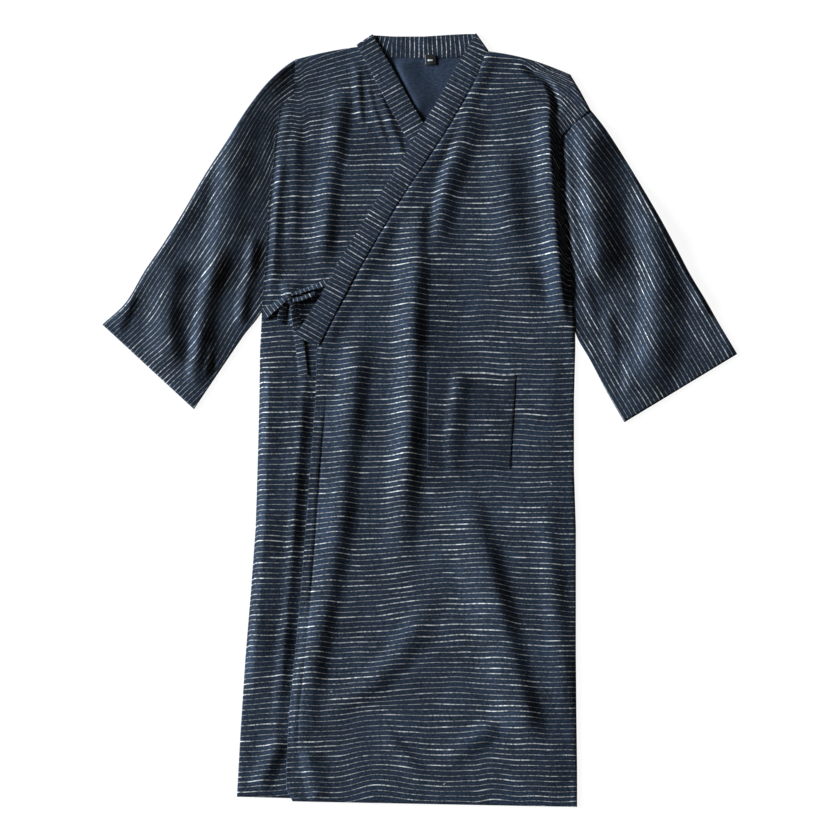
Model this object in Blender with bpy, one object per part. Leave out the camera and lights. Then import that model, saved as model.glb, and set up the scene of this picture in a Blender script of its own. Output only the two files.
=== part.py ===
"""A striped cotton kimono robe, laid flat on its back with its left front over its right.

X runs across the robe and is plus on the wearer's left, Y runs from hem to neck, and Z
goes up from the surface that the back panel lies on. The origin is the middle of the
robe's outline. Left and right in names are the wearer's. The tables and the heights are
in millimetres, and each piece is turned into metres when its mesh is made.
"""

import math
from collections import namedtuple

import bpy
from mathutils import Vector
from mathutils.bvhtree import BVHTree

METRES = 0.001

# Thickness of each kind of piece, and the room between pieces.
CLOTH = 1.2
BAND = 2.4
STRAP = 2.0
LABEL = 1.0
CLEAR = 0.3
SEAM = 0.7

# Heights of the middle of each layer over the surface.
BACK_LEVEL = CLOTH / 2
RIM_LEVEL = BACK_LEVEL + CLOTH + CLEAR
UNDER_LEVEL = RIM_LEVEL + 1.2
ROLL_LEVEL = RIM_LEVEL + 2.0
OUTER_LEVEL = 5.6
SEWN_LEVEL = 7.2
HEM_LEVEL = 4.3
SLEEVE_LEVEL = 3.0
BAND_LEVEL = BAND / 2
BAND_TURN = 1.5
CREASE_LEVEL = BAND_LEVEL + 2 * BAND_TURN
STRAP_LEVEL = UNDER_LEVEL + (CLOTH + STRAP) / 2 + CLEAR

# How finely the pieces are divided.
ROW_STEP = 44.0
LEFT_COLUMN_STEP = 24.0
RIGHT_COLUMN_STEP = 26.0
BAND_PARTS = 2
EDGE_STEPS = (5.0, 13.0)
EDGE_REACH = 16.0
FOLD_FADE = 18.0
FOLD_TAPER = 0.18

# One cross section of a front: where its two side edges are and how high they lie.
Section = namedtuple("Section", "left right left_height right_height")

LEFT_FRONT = (
    Section((113, 588), (241, 552), 3.0, RIM_LEVEL),
    Section((84, 536), (258, 524), 5.6, RIM_LEVEL),
    Section((62, 496), (274, 494), 6.6, RIM_LEVEL),
    Section((38, 456), (226, 451), SEWN_LEVEL, ROLL_LEVEL),
    Section((2, 403), (224, 403), SEWN_LEVEL, ROLL_LEVEL),
    Section((-42, 335), (231, 335), SEWN_LEVEL, ROLL_LEVEL),
    Section((-73, 283), (236, 283), SEWN_LEVEL, ROLL_LEVEL),
    Section((-102, 233), (241, 233), SEWN_LEVEL, ROLL_LEVEL),
    Section((-129, 182), (245, 182), SEWN_LEVEL, ROLL_LEVEL),
    Section((-150, 139), (249, 139), SEWN_LEVEL, ROLL_LEVEL),
    Section((-164, 112), (249, 110), 6.6, RIM_LEVEL),
    Section((-166, 32), (247, 32), 5.8, RIM_LEVEL),
    Section((-175, -80), (247, -80), 5.8, RIM_LEVEL),
    Section((-182, -173), (250, -173), 5.8, RIM_LEVEL),
    Section((-190, -280), (250, -280), 5.8, RIM_LEVEL),
    Section((-199, -376), (250, -376), 5.8, RIM_LEVEL),
    Section((-209, -480), (251, -480), 5.8, RIM_LEVEL),
    Section((-213, -560), (252, -560), 5.4, RIM_LEVEL),
    Section((-213, -590), (252, -597), 5.0, RIM_LEVEL),
    Section((-203, -610), (252, -619), HEM_LEVEL, RIM_LEVEL),
)

RIGHT_FRONT = (
    Section((-199, 576), (-102, 596), RIM_LEVEL, RIM_LEVEL),
    Section((-196, 536), (-67, 536), RIM_LEVEL, UNDER_LEVEL),
    Section((-194, 492), (-44, 492), ROLL_LEVEL, UNDER_LEVEL),
    Section((-214, 473), (-33, 473), ROLL_LEVEL, UNDER_LEVEL),
    Section((-230, 456), (-24, 456), ROLL_LEVEL, UNDER_LEVEL),
    Section((-234, 408), (2, 408), ROLL_LEVEL, RIM_LEVEL),
    Section((-241, 344), (36, 344), ROLL_LEVEL, RIM_LEVEL),
    Section((-246, 256), (84, 256), ROLL_LEVEL, RIM_LEVEL),
    Section((-252, 176), (127, 176), ROLL_LEVEL, RIM_LEVEL),
    Section((-253, 148), (140, 148), RIM_LEVEL, RIM_LEVEL),
    Section((-255, 112), (153, 112), RIM_LEVEL, RIM_LEVEL),
    Section((-256, 32), (159, 32), RIM_LEVEL, RIM_LEVEL),
    Section((-259, -80), (167, -80), RIM_LEVEL, RIM_LEVEL),
    Section((-262, -173), (174, -173), RIM_LEVEL, RIM_LEVEL),
    Section((-270, -280), (182, -280), RIM_LEVEL, RIM_LEVEL),
    Section((-278, -376), (190, -376), RIM_LEVEL, RIM_LEVEL),
    Section((-286, -496), (199, -496), RIM_LEVEL, RIM_LEVEL),
    Section((-292, -603), (202, -603), RIM_LEVEL, RIM_LEVEL),
)

# One cross section of a sleeve: its edge on the body side and its edge on the far side,
# and how far the upper cloth is tucked under the front there.
Cross = namedtuple("Cross", "inner outer tuck")

LEFT_SLEEVE = (
    Cross((227, 449), (276, 493), 0),
    Cross((223, 408), (298, 464), 4),
    Cross((226, 360), (329, 416), 6),
    Cross((233, 304), (358, 368), 6),
    Cross((239, 248), (386, 320), 6),
    Cross((244, 192), (412, 272), 3),
    Cross((253, 139), (433, 232), 0),
    Cross((273, 96), (457, 192), 0),
    Cross((298, 48), (481, 150), 0),
    Cross((328, -4), (508, 105), 0),
)
RIGHT_SLEEVE = (
    Cross((-195, 494), (-201, 575), 0),
    Cross((-229, 458), (-242, 540), 4),
    Cross((-234, 420), (-275, 498), 6),
    Cross((-238, 368), (-306, 449), 6),
    Cross((-242, 304), (-343, 392), 6),
    Cross((-246, 240), (-378, 332), 3),
    Cross((-256, 176), (-410, 281), 0),
    Cross((-282, 134), (-438, 240), 0),
    Cross((-322, 75), (-470, 187), 0),
    Cross((-361, 17), (-507, 152), 0),
)
UNDERARM = 6
LEAST_TUCK = 3.0
SLEEVE_TURN = (SLEEVE_LEVEL - BACK_LEVEL) / 2
TUCKED_LEVEL = RIM_LEVEL + 0.3
HALF_TURN = tuple(math.radians(angle) for angle in (0, 45, 90, 135, 180))
UNDER_SLEEVE_STEPS = 5
UPPER_SLEEVE_STEPS = 13

# One cross section of a band or strap: its sewn edge, its free edge and its height.
Ruling = namedtuple("Ruling", "sewn free height")

LONG_LAPEL = (
    Ruling((106, 576), (78, 596), 5.0),
    Ruling((84, 536), (52, 552), 6.6),
    Ruling((62, 496), (30, 512), 7.6),
    Ruling((38, 456), (6, 472), 8.0),
    Ruling((2, 403), (-29, 416), 8.0),
    Ruling((-42, 335), (-71, 347), 8.0),
    Ruling((-73, 283), (-102, 296), 8.0),
    Ruling((-102, 233), (-132, 248), 8.2),
    Ruling((-129, 182), (-159, 197), 8.4),
    Ruling((-158, 125), (-194, 141), 8.2),
    Ruling((-164, 119), (-196, 133), 7.8),
)
BACK_NECK = (
    Ruling((87, 584), (74, 617), BAND_LEVEL),
    Ruling((57, 580), (52, 616), BAND_LEVEL),
    Ruling((7, 579), (7, 613), BAND_LEVEL),
    Ruling((-55, 580), (-41, 613), BAND_LEVEL),
)
LEFT_CREASE = Ruling((109, 589), (89, 617), BAND_LEVEL)
RIGHT_CREASE = Ruling((-100, 598), (-74, 615), BAND_LEVEL)
COLLAR_JOIN = Ruling((-93, 589), (-60, 607), CREASE_LEVEL)
SHORT_LAPEL = (
    Ruling((-92, 588), (-59, 606), CREASE_LEVEL),
    Ruling((-67, 536), (-36, 550), 3.9),
    Ruling((-44, 492), (-14, 509), 3.6),
    Ruling((-18, 446), (7, 474), 3.4),
    Ruling((36, 344), (66, 363), 3.2),
    Ruling((84, 256), (114, 275), 3.2),
    Ruling((127, 176), (156, 198), 3.2),
    Ruling((155, 121), (188, 139), 3.2),
)

# One fold of the cloth: its height, its half width and the line of its crest.
Fold = namedtuple("Fold", "height half_width crest")

EDGE_CREST = ((-95, 205), (-112, 90), (-119, -28), (-132, -148), (-155, -268), (-178, -400), (-190, -510))
LEFT_FRONT_FOLDS = (
    Fold(6.0, 32, ((0, 352), (-10, 170), (-18, 0), (-28, -145), (-36, -235))),
    Fold(5.0, 28, EDGE_CREST),
    Fold(4.0, 26, ((72, 475), (46, 400), (22, 320))),
    Fold(4.5, 36, ((176, 520), (186, 440), (150, 330), (178, 235), (200, 150))),
    Fold(5.5, 34, ((62, -90), (108, -190), (140, -310), (165, -415), (190, -540))),
    Fold(3.5, 34, ((20, -290), (-30, -360), (-100, -430), (-140, -470))),
    Fold(3.0, 30, ((70, -540), (10, -575), (-30, -590))),
    Fold(4.5, 18, ((216, 500), (212, 420), (222, 300), (232, 200))),
)
RIGHT_FRONT_FOLDS = (
    Fold(4.0, 22, ((-126, 505), (-136, 380), (-146, 250))),
    Fold(3.5, 16, ((-76, 560), (-62, 480), (-36, 400))),
    Fold(4.0, 18, ((-222, 462), (-226, 400), (-232, 330), (-238, 240), (-243, 190))),
    Fold(3.0, 22, ((-230, -300), (-248, -400), (-262, -520))),
)
LEFT_SLEEVE_FOLDS = (
    Fold(6.0, 30, ((350, 380), (374, 250), (380, 150), (362, 40))),
    Fold(5.0, 26, ((280, 420), (292, 320), (300, 210), (302, 130))),
    Fold(4.0, 26, ((440, 205), (452, 150), (440, 85))),
)
RIGHT_SLEEVE_FOLDS = (
    Fold(6.0, 30, ((-300, 420), (-318, 330), (-334, 210), (-345, 90))),
    Fold(4.0, 26, ((-362, 330), (-396, 230), (-412, 130))),
    Fold(3.0, 16, ((-230, 545), (-236, 515), (-246, 485))),
)

POCKET_CORNERS = ((13, 78), (155, 72), (146, -79), (12, -76))
POCKET_STEPS = 10
POCKET_LIFT = CLOTH + 0.8
ABOVE_ALL = 100.0

LABEL_WIDTH = 17.6
LABEL_PLACE = (17.6, 584.5)
LABEL_DROPS = ((0.0, 3.5), (5.0, 3.5), (9.0, 2.6), (16.0, 2.6))

STRAP_WIDTH = 14.5
SIDE_STRAP = ((-252, 166, 1.0), (-236, 176, 0.6), (-221, 189, 0.8))
FRONT_STRAP = ((-200, 203, 0.8), (-182, 209, 0.4), (-162, 219, 0.0), (-142, 228, 0.0))
HANGING_END = ((-199, 181, 1.2), (-196, 150, 0.0), (-191, 112, 0.0), (-186, 74, 0.0))
SHORT_END = ((-217, 174, 0.6), (-220, 166, 0.3), (-223, 155, 0.0))
STRAP_TURN = 1.4
LOOP_START = (-196.5, 191.5)
LOOP_END = (-170, 203.5)
LOOP_WIDTH = 9.0
LOOP_BULGE = 0.6
KNOT_SIZE = (13.0, 17.0, 7.0)
KNOT_PLACE = (-208, 193)
KNOT_TURN = 28.0
KNOT_ROUNDING = 2.5

NAVY = (0.020, 0.030, 0.055, 1.0)
DARK_NAVY = (0.014, 0.021, 0.040, 1.0)
INK = (0.006, 0.007, 0.009, 1.0)
COTTON_ROUGHNESS = 0.9


def clear_scene():
    """Remove the objects that the file opened with."""
    for item in list(bpy.data.objects):
        bpy.data.objects.remove(item, do_unlink=True)


def cloth_material(name, colour):
    """Make a matt cloth material of one colour."""
    material = bpy.data.materials.new(name)
    material.use_nodes = True
    shader = material.node_tree.nodes["Principled BSDF"]
    shader.inputs["Base Color"].default_value = colour
    shader.inputs["Roughness"].default_value = COTTON_ROUGHNESS
    return material


def mix(start, end, share):
    """Return the point a share of the way from start to end."""
    return tuple(a + (b - a) * share for a, b in zip(start, end))


def smooth(value):
    """Ease a value from 0 to 1, held at both ends."""
    held = min(max(value, 0.0), 1.0)
    return held * held * (3 - 2 * held)


def roll(distance, reach):
    """Return how far a rounded edge still pulls the cloth down, 1 at the edge itself."""
    share = min(max(distance / reach, 0.0), 1.0)
    return 1 - math.sqrt(1 - (1 - share) ** 2)


def fold_height(folds, x, y):
    """Add up the height of the folds at one place."""
    total = 0.0
    for fold in folds:
        spans = list(zip(fold.crest, fold.crest[1:]))
        lengths = [math.dist(a, b) for a, b in spans]
        nearest = None
        passed = 0.0
        for (start, end), length in zip(spans, lengths):
            along = (x - start[0]) * (end[0] - start[0]) + (y - start[1]) * (end[1] - start[1])
            share = min(max(along / length ** 2, 0.0), 1.0)
            away = math.dist((x, y), mix(start, end, share))
            if nearest is None or away < nearest[0]:
                nearest = (away, passed + share * length)
            passed += length
        away, place = nearest
        if away < fold.half_width:
            ends = min(place, passed - place) / (FOLD_TAPER * passed)
            total += fold.height * smooth(ends) * (1 + math.cos(math.pi * away / fold.half_width)) / 2
    return total


def spaced(length, step, marks):
    """Return places along a length: its marks, and between them places at most a step apart."""
    places = [0.0]
    for mark in sorted(set(marks) | {length}):
        start = places[-1]
        if mark - start < 1.0:
            continue
        count = math.ceil((mark - start) / step)
        places += [start + (mark - start) * (index + 1) / count for index in range(count)]
    return places


def sheet(name, rows, thickness, material, joined_from=None):
    """Make a cloth wall from rows of points on its middle surface.

    From row joined_from on, the last point of each row is joined to its first.
    """
    width = len(rows[0])
    points = [Vector(point) * METRES for row in rows for point in row]
    faces = []
    for upper in range(len(rows) - 1):
        for column in range(width - 1):
            corner = upper * width + column
            faces.append((corner, corner + width, corner + width + 1, corner + 1))
        if joined_from is not None and upper >= joined_from:
            first = upper * width
            faces.append((first + width - 1, first + 2 * width - 1, first + width, first))
    mesh = bpy.data.meshes.new(name)
    mesh.from_pydata(points, [], faces)
    mesh.materials.append(material)
    mesh.shade_smooth()
    piece = bpy.data.objects.new(name, mesh)
    bpy.context.collection.objects.link(piece)
    wall = piece.modifiers.new("wall", "SOLIDIFY")
    wall.thickness = thickness * METRES
    wall.offset = 0.0
    return piece


def front_rows(sections, step, level, hem_level, folds):
    """Return the middle surface of a front as rows of points from shoulder to hem."""
    centres = [mix(section.left, section.right, 0.5) for section in sections]
    marks = [0.0]
    for before, after in zip(centres, centres[1:]):
        marks.append(marks[-1] + math.dist(before, after))
    length = marks[-1]
    wanted = marks + list(EDGE_STEPS) + [length - EDGE_STEPS[1]]
    count = round(math.dist(sections[-1].left, sections[-1].right) / step)
    rows = []
    for place in spaced(length, ROW_STEP, wanted):
        index = max(i for i in range(len(sections) - 1) if marks[i] <= place + 1e-6)
        share = (place - marks[index]) / (marks[index + 1] - marks[index])
        upper = sections[index]
        lower = sections[index + 1]
        left = mix(upper.left, lower.left, share)
        right = mix(upper.right, lower.right, share)
        left_height = upper.left_height + (lower.left_height - upper.left_height) * share
        right_height = upper.right_height + (lower.right_height - upper.right_height) * share
        width = math.dist(left, right)
        edges = [step_in / width for step_in in EDGE_STEPS]
        start = edges[-1]
        middle = [start + (1 - 2 * start) * column / count for column in range(1, count)]
        shares = [0.0] + edges + middle + [1 - edge for edge in reversed(edges)] + [1.0]
        row = []
        for across in shares:
            x, y = mix(left, right, across)
            from_side = min(across, 1 - across) * width
            fade = smooth(min(from_side, place) / FOLD_FADE)
            height = level + fold_height(folds, x, y) * fade
            pulls = (
                (across * width, left_height),
                ((1 - across) * width, right_height),
                (place, RIM_LEVEL),
                (length - place, hem_level),
            )
            for distance, rim in pulls:
                pull = roll(distance, EDGE_REACH)
                height = height * (1 - pull) + rim * pull
            row.append((x, y, height))
        rows.append(row)
    return rows


def sleeve_rows(crosses, folds, inward):
    """Return the middle surface of a flattened sleeve, a row of points round each section."""
    rows = []
    for index, (upper, lower) in enumerate(zip(crosses, crosses[1:])):
        last = index == len(crosses) - 2
        for share in (0.0, 0.5, 1.0) if last else (0.0, 0.5):
            inner = mix(upper.inner, lower.inner, share)
            outer = mix(upper.outer, lower.outer, share)
            tuck = upper.tuck + (lower.tuck - upper.tuck) * share
            closing = min(max(index + share - UNDERARM + 1, 0.0), 1.0)
            rows.append(sleeve_row(inner, outer, tuck, closing, folds))
    if inward:
        rows = [list(reversed(row)) for row in rows]
    return rows


def sleeve_row(inner, outer, tuck, closing, folds):
    """Return one section of a sleeve: under cloth, far fold, upper cloth and near edge.

    closing is 0 where the near edge is open along the armhole, and 1 where it is a fold.
    """
    width = math.dist(inner, outer)
    near = SEAM + (SLEEVE_TURN + CLOTH / 2 - SEAM) * closing
    far = width - SLEEVE_TURN - CLOTH / 2
    middle = (BACK_LEVEL + SLEEVE_LEVEL) / 2
    turns = [(SLEEVE_TURN * math.sin(angle), SLEEVE_TURN * math.cos(angle)) for angle in HALF_TURN[1:-1]]
    row = []
    for step in range(UNDER_SLEEVE_STEPS + 1):
        distance = near + (far - near) * step / UNDER_SLEEVE_STEPS
        row.append((*mix(inner, outer, distance / width), BACK_LEVEL))
    for bulge, drop in turns:
        row.append((*mix(inner, outer, (far + bulge) / width), middle - drop))
    near_height = TUCKED_LEVEL + (SLEEVE_LEVEL - TUCKED_LEVEL) * closing
    for step in range(UPPER_SLEEVE_STEPS + 1):
        distance = far + (near - far) * step / UPPER_SLEEVE_STEPS
        x, y = mix(inner, outer, distance / width)
        near_fade = smooth((distance - near) / (FOLD_FADE * (2 - closing)))
        fade = near_fade * smooth((far - distance) / FOLD_FADE)
        height = near_height + (SLEEVE_LEVEL - near_height) * smooth(distance / (2 * FOLD_FADE))
        row.append((x, y, height + fold_height(folds, x, y) * fade))
    for number, (bulge, drop) in enumerate(reversed(turns)):
        open_distance = -max(tuck, LEAST_TUCK) * (number + 1) / len(turns)
        distance = open_distance + (near - bulge - open_distance) * closing
        height = RIM_LEVEL + (middle - drop - RIM_LEVEL) * closing
        row.append((*mix(inner, outer, distance / width), height))
    return row


def back_outline():
    """Return the clockwise outline of the back panel, from its neck round by the left side."""
    neck = [ruling.sewn for ruling in reversed(BACK_NECK)]
    left_shoulder = [LEFT_FRONT[0].left] + [section.right for section in LEFT_FRONT[:4]]
    left_armhole = [cross.inner for cross in LEFT_SLEEVE[1:UNDERARM]]
    left_side = [section.right for section in LEFT_FRONT[10:]]
    right_side = [section.left for section in RIGHT_FRONT[10:]]
    right_armhole = [cross.inner for cross in RIGHT_SLEEVE[1:UNDERARM]]
    right_shoulder = [section.left for section in reversed(RIGHT_FRONT[:3])] + [RIGHT_FRONT[0].right]
    return (
        neck + left_shoulder + left_armhole + left_side
        + right_side[::-1] + right_armhole[::-1] + right_shoulder
    )


def plate(name, outline, thickness, material):
    """Make a flat plate of one clockwise outline that lies on the surface."""
    count = len(outline)
    points = [Vector((x, y, z)) * METRES for z in (0.0, thickness) for x, y in outline]
    faces = [tuple(reversed(range(count, 2 * count))), tuple(range(count))]
    for index in range(count):
        after = (index + 1) % count
        faces.append((after, index, count + index, count + after))
    mesh = bpy.data.meshes.new(name)
    mesh.from_pydata(points, [], faces)
    mesh.materials.append(material)
    piece = bpy.data.objects.new(name, mesh)
    bpy.context.collection.objects.link(piece)
    return piece


def band_row(sewn, free, height):
    """Return three points across a band, its sewn edge set in by the seam's room."""
    start = mix(sewn, free, SEAM / math.dist(sewn, free))
    middle = mix(start, free, 0.5)
    return [(*start, height), (*middle, height), (*free, height)]


def band_rows(rulings):
    """Return rows of points along a band, each length between two sections in equal parts."""
    rows = []
    for before, after in zip(rulings, rulings[1:]):
        for part in range(BAND_PARTS):
            share = part / BAND_PARTS
            sewn = mix(before.sewn, after.sewn, share)
            free = mix(before.free, after.free, share)
            height = before.height + (after.height - before.height) * share
            rows.append(band_row(sewn, free, height))
    rows.append(band_row(*rulings[-1]))
    return rows


def crease_rows(crease, away):
    """Return the rows where a band turns over at a crease, from its low side to its high side."""
    across = Vector(crease.free) - Vector(crease.sewn)
    out = Vector((-across.y, across.x)).normalized() * away
    rows = []
    for angle in HALF_TURN:
        push = out * BAND_TURN * math.sin(angle)
        height = crease.height + BAND_TURN * (1 - math.cos(angle))
        sewn = tuple(Vector(crease.sewn) + push)
        free = tuple(Vector(crease.free) + push)
        rows.append(band_row(sewn, free, height))
    return rows


def strap_rows(path, width, level):
    """Return rows of points along a flat strap that follows a path of x, y and lift."""
    rows = []
    for index, (x, y, lift) in enumerate(path):
        before = path[max(index - 1, 0)]
        after = path[min(index + 1, len(path) - 1)]
        along = Vector((after[0] - before[0], after[1] - before[1])).normalized()
        side = Vector((-along.y, along.x)) * width / 2
        rows.append([(x + side.x * end, y + side.y * end, level + lift) for end in (1, 0, -1)])
    return rows


def loop_rows(start, end, width, level):
    """Return rows along a strap that runs out from the knot, turns over and comes back."""
    along = (Vector(end) - Vector(start)).normalized()
    side = Vector((-along.y, along.x)) * width / 2
    middle = Vector(start).lerp(Vector(end), 0.5)
    stops = [(Vector(start), 0.0), (middle, 0.0)]
    for angle in HALF_TURN:
        push = along * STRAP_TURN * math.sin(angle)
        stops.append((Vector(end) + push, STRAP_TURN * (1 - math.cos(angle))))
    top = 2 * STRAP_TURN
    stops += [(middle, top + LOOP_BULGE), (Vector(start), top)]
    rows = []
    for place, lift in stops:
        rows.append([(place.x + side.x * e, place.y + side.y * e, level + lift) for e in (1, 0, -1)])
    return rows


def laid_rows(corners, steps, lift, carrier_rows):
    """Return a square patch of points laid on a panel, moved out from it by the lift."""
    width = len(carrier_rows[0])
    points = [Vector(point) for row in carrier_rows for point in row]
    faces = []
    for upper in range(len(carrier_rows) - 1):
        for column in range(width - 1):
            corner = upper * width + column
            faces.append((corner, corner + width, corner + width + 1, corner + 1))
    carrier = BVHTree.FromPolygons(points, faces)
    top_left, top_right, bottom_right, bottom_left = corners
    rows = []
    for down in range(steps + 1):
        row = []
        for across in range(steps + 1):
            upper = mix(top_left, top_right, across / steps)
            lower = mix(bottom_left, bottom_right, across / steps)
            x, y = mix(upper, lower, down / steps)
            hit = carrier.ray_cast(Vector((x, y, ABOVE_ALL)), Vector((0.0, 0.0, -1.0)))[0]
            row.append((x, y, hit.z + lift))
        rows.append(row)
    return rows


def knot(name, material):
    """Make the rounded knot of the bow."""
    bpy.ops.mesh.primitive_cube_add(size=1.0)
    piece = bpy.context.object
    piece.name = name
    bottom = UNDER_LEVEL + CLOTH / 2 + CLEAR
    for vertex in piece.data.vertices:
        vertex.co = Vector(a * b for a, b in zip(vertex.co, KNOT_SIZE)) * METRES
    piece.location = Vector((*KNOT_PLACE, bottom + KNOT_SIZE[2] / 2)) * METRES
    piece.rotation_euler.z = math.radians(KNOT_TURN)
    piece.data.materials.append(material)
    rounding = piece.modifiers.new("rounding", "BEVEL")
    rounding.width = KNOT_ROUNDING * METRES
    rounding.segments = 2
    piece.data.shade_smooth()
    return piece


def build_panels(striped):
    """Make the back, both fronts and the pocket."""
    plate("back", back_outline(), CLOTH, striped)
    right_rows = front_rows(RIGHT_FRONT, RIGHT_COLUMN_STEP, UNDER_LEVEL, RIM_LEVEL, RIGHT_FRONT_FOLDS)
    sheet("front_right", right_rows, CLOTH, striped)
    left_rows = front_rows(LEFT_FRONT, LEFT_COLUMN_STEP, OUTER_LEVEL, HEM_LEVEL, LEFT_FRONT_FOLDS)
    sheet("front_left", left_rows, CLOTH, striped)
    pocket_rows = laid_rows(POCKET_CORNERS, POCKET_STEPS, POCKET_LIFT, left_rows)
    sheet("pocket", pocket_rows, CLOTH, striped)


def build_sleeves(striped):
    """Make the two sleeves as flattened tubes, open at the cuff and along the armhole."""
    left_rows = sleeve_rows(LEFT_SLEEVE, LEFT_SLEEVE_FOLDS, False)
    sheet("sleeve_left", left_rows, CLOTH, striped, joined_from=2 * UNDERARM)
    right_rows = sleeve_rows(RIGHT_SLEEVE, RIGHT_SLEEVE_FOLDS, True)
    sheet("sleeve_right", right_rows, CLOTH, striped, joined_from=2 * UNDERARM)


def build_collar(striped):
    """Make the collar: the long lapel with the back of the neck, and the short lapel under it."""
    rows = band_rows(LONG_LAPEL)[::-1] + crease_rows(LEFT_CREASE, -1)[::-1]
    rows += band_rows(BACK_NECK) + crease_rows(RIGHT_CREASE, 1) + [band_row(*COLLAR_JOIN)]
    sheet("collar_left", rows, BAND, striped)
    sheet("collar_right", band_rows(SHORT_LAPEL), BAND, striped)


def build_label(ink):
    """Make the plain woven label that hangs from the back neck seam."""
    x, top = LABEL_PLACE
    half = LABEL_WIDTH / 2
    rows = [[(x + half * side, top - drop, height) for side in (-1, 0, 1)] for drop, height in LABEL_DROPS]
    sheet("neck_label", rows, LABEL, ink)


def build_ties(dark):
    """Make the bow: the straps to the side seam and the front, a loop, two ends and the knot."""
    sheet("tie_side", strap_rows(SIDE_STRAP, STRAP_WIDTH, STRAP_LEVEL), STRAP, dark)
    sheet("tie_front", strap_rows(FRONT_STRAP, LOOP_WIDTH, STRAP_LEVEL), STRAP, dark)
    sheet("tie_long_end", strap_rows(HANGING_END, STRAP_WIDTH, STRAP_LEVEL), STRAP, dark)
    sheet("tie_short_end", strap_rows(SHORT_END, LOOP_WIDTH, STRAP_LEVEL), STRAP, dark)
    sheet("tie_loop", loop_rows(LOOP_START, LOOP_END, LOOP_WIDTH, STRAP_LEVEL), STRAP, dark)
    knot("tie_knot", dark)


def main():
    """Build the robe."""
    clear_scene()
    striped = cloth_material("striped_cotton", NAVY)
    dark = cloth_material("tie_cotton", DARK_NAVY)
    ink = cloth_material("label_weave", INK)
    build_panels(striped)
    build_sleeves(striped)
    build_collar(striped)
    build_label(ink)
    build_ties(dark)


main()
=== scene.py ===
"""The looks of a striped cotton kimono robe that lies flat on a pale floor.

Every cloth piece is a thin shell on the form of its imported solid, with the creases that
the laid out robe shows. The tables are in millimetres in the robe's own frame: X is plus
on the wearer's left, Y is plus towards the neck, and Z goes up from the floor. Names give
the wearer's sides, so the left front is the outer one and lies at the right of the view.
"""

import logging
import math
from collections.abc import Callable, Sequence
from dataclasses import dataclass
from enum import Enum
from typing import NamedTuple

import bpy
import numpy as np
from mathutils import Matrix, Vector, noise
from mathutils.bvhtree import BVHTree


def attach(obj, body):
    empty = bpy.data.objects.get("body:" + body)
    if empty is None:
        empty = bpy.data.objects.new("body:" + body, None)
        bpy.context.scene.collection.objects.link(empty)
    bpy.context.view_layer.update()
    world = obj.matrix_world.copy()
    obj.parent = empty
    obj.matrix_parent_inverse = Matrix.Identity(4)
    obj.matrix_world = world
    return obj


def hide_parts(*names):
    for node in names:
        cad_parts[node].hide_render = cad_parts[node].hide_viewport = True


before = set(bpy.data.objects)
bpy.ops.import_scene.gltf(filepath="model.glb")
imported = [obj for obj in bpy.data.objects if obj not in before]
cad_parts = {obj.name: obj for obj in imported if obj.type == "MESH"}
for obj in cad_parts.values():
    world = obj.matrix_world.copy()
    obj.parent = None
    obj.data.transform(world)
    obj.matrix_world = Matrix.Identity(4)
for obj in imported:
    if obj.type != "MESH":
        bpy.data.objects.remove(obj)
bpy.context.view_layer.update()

MM = 0.001
ABOVE_ALL = 100.0
BODY = "root"

log = logging.getLogger("robe")

Point = tuple[float, float]
Colour = tuple[float, float, float, float]
Array = np.ndarray
Piece = bpy.types.Object
Socket = bpy.types.NodeSocket

# How high the middle of the cloth lies, in millimetres over the floor.
CLOTH_LEVEL = 0.45
RIM_LEVEL = 2.1
UNDER_LEVEL = 3.3
ROLL_LEVEL = 4.1
OVER_LEVEL = 3.4
OUTER_LEVEL = 5.6
SEWN_LEVEL = 8.1
HEM_LEVEL = 4.3

# Soft unevenness: how far apart its bumps lie, in millimetres, and which pattern it takes.
BROAD_RUMPLE = (34.0, 2.5)
FINE_RUMPLE = (15.0, 7.5)
STRIPE_SWAY = (95.0, 4.5)
STRIPE_WAVER = (38.0, 5.5)
SLEEVE_RUMPLE = (26.0, 3.5)
SLEEVE_SWAY = (80.0, 6.5)
BAND_RUMPLE = (22.0, 9.5)


class Section(NamedTuple):
    """One cross section of a panel: its two edges and how high they lie."""

    left: Point
    right: Point
    left_height: float = RIM_LEVEL
    right_height: float = RIM_LEVEL


class Cross(NamedTuple):
    """One cross section of a sleeve: its body side, its far side and its tuck under the front."""

    inner: Point
    outer: Point
    tuck: float


class Ruling(NamedTuple):
    """One cross section of the collar band: its sewn edge, its free edge and its height."""

    sewn: Point
    free: Point
    height: float


class Crease(NamedTuple):
    """One soft ridge of the cloth.

    height is how far the crest stands up. lit and shade are the widths of its flanks on
    the wearer's right and left, and crest is its line from the upper end down.
    """

    height: float
    lit: float
    shade: float
    crest: tuple[Point, ...]


class Stop(NamedTuple):
    """One place on a ribbon: its middle, its width and how far it is tilted, in degrees."""

    x: float
    y: float
    z: float
    width: float
    tilt: float


class Weave(Enum):
    """The finishes of the robe, by the name of their material."""

    STRIPED = "striped_cotton_face"
    REVERSE = "striped_cotton_reverse"
    TIE = "tie_cotton_face"
    # The pocket's finish is a darker copy of the striped cotton, which is painted shade.
    POCKET = "pocket_cotton_painted_shade"
    LABEL = "label_satin"
    MARK = "label_mark"
    THREAD = "sewing_thread"
    FLOOR = "pale_floor"


def smooth(value: Array) -> Array:
    """Ease values from 0 to 1, held at both ends."""
    held = np.clip(value, 0.0, 1.0)
    return held * held * (3 - 2 * held)


def rounded(distance: Array, reach: float) -> Array:
    """Return how far a rounded edge pulls the cloth down, 1 at the edge itself.

    Args:
        distance: how far each point is from the edge.
        reach: how far in the rounding starts.

    Returns:
        The pull of each point, from 0 to 1.
    """
    share = np.clip(distance / reach, 0.0, 1.0)
    return 1 - np.sqrt(1 - (1 - share) ** 2)


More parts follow.
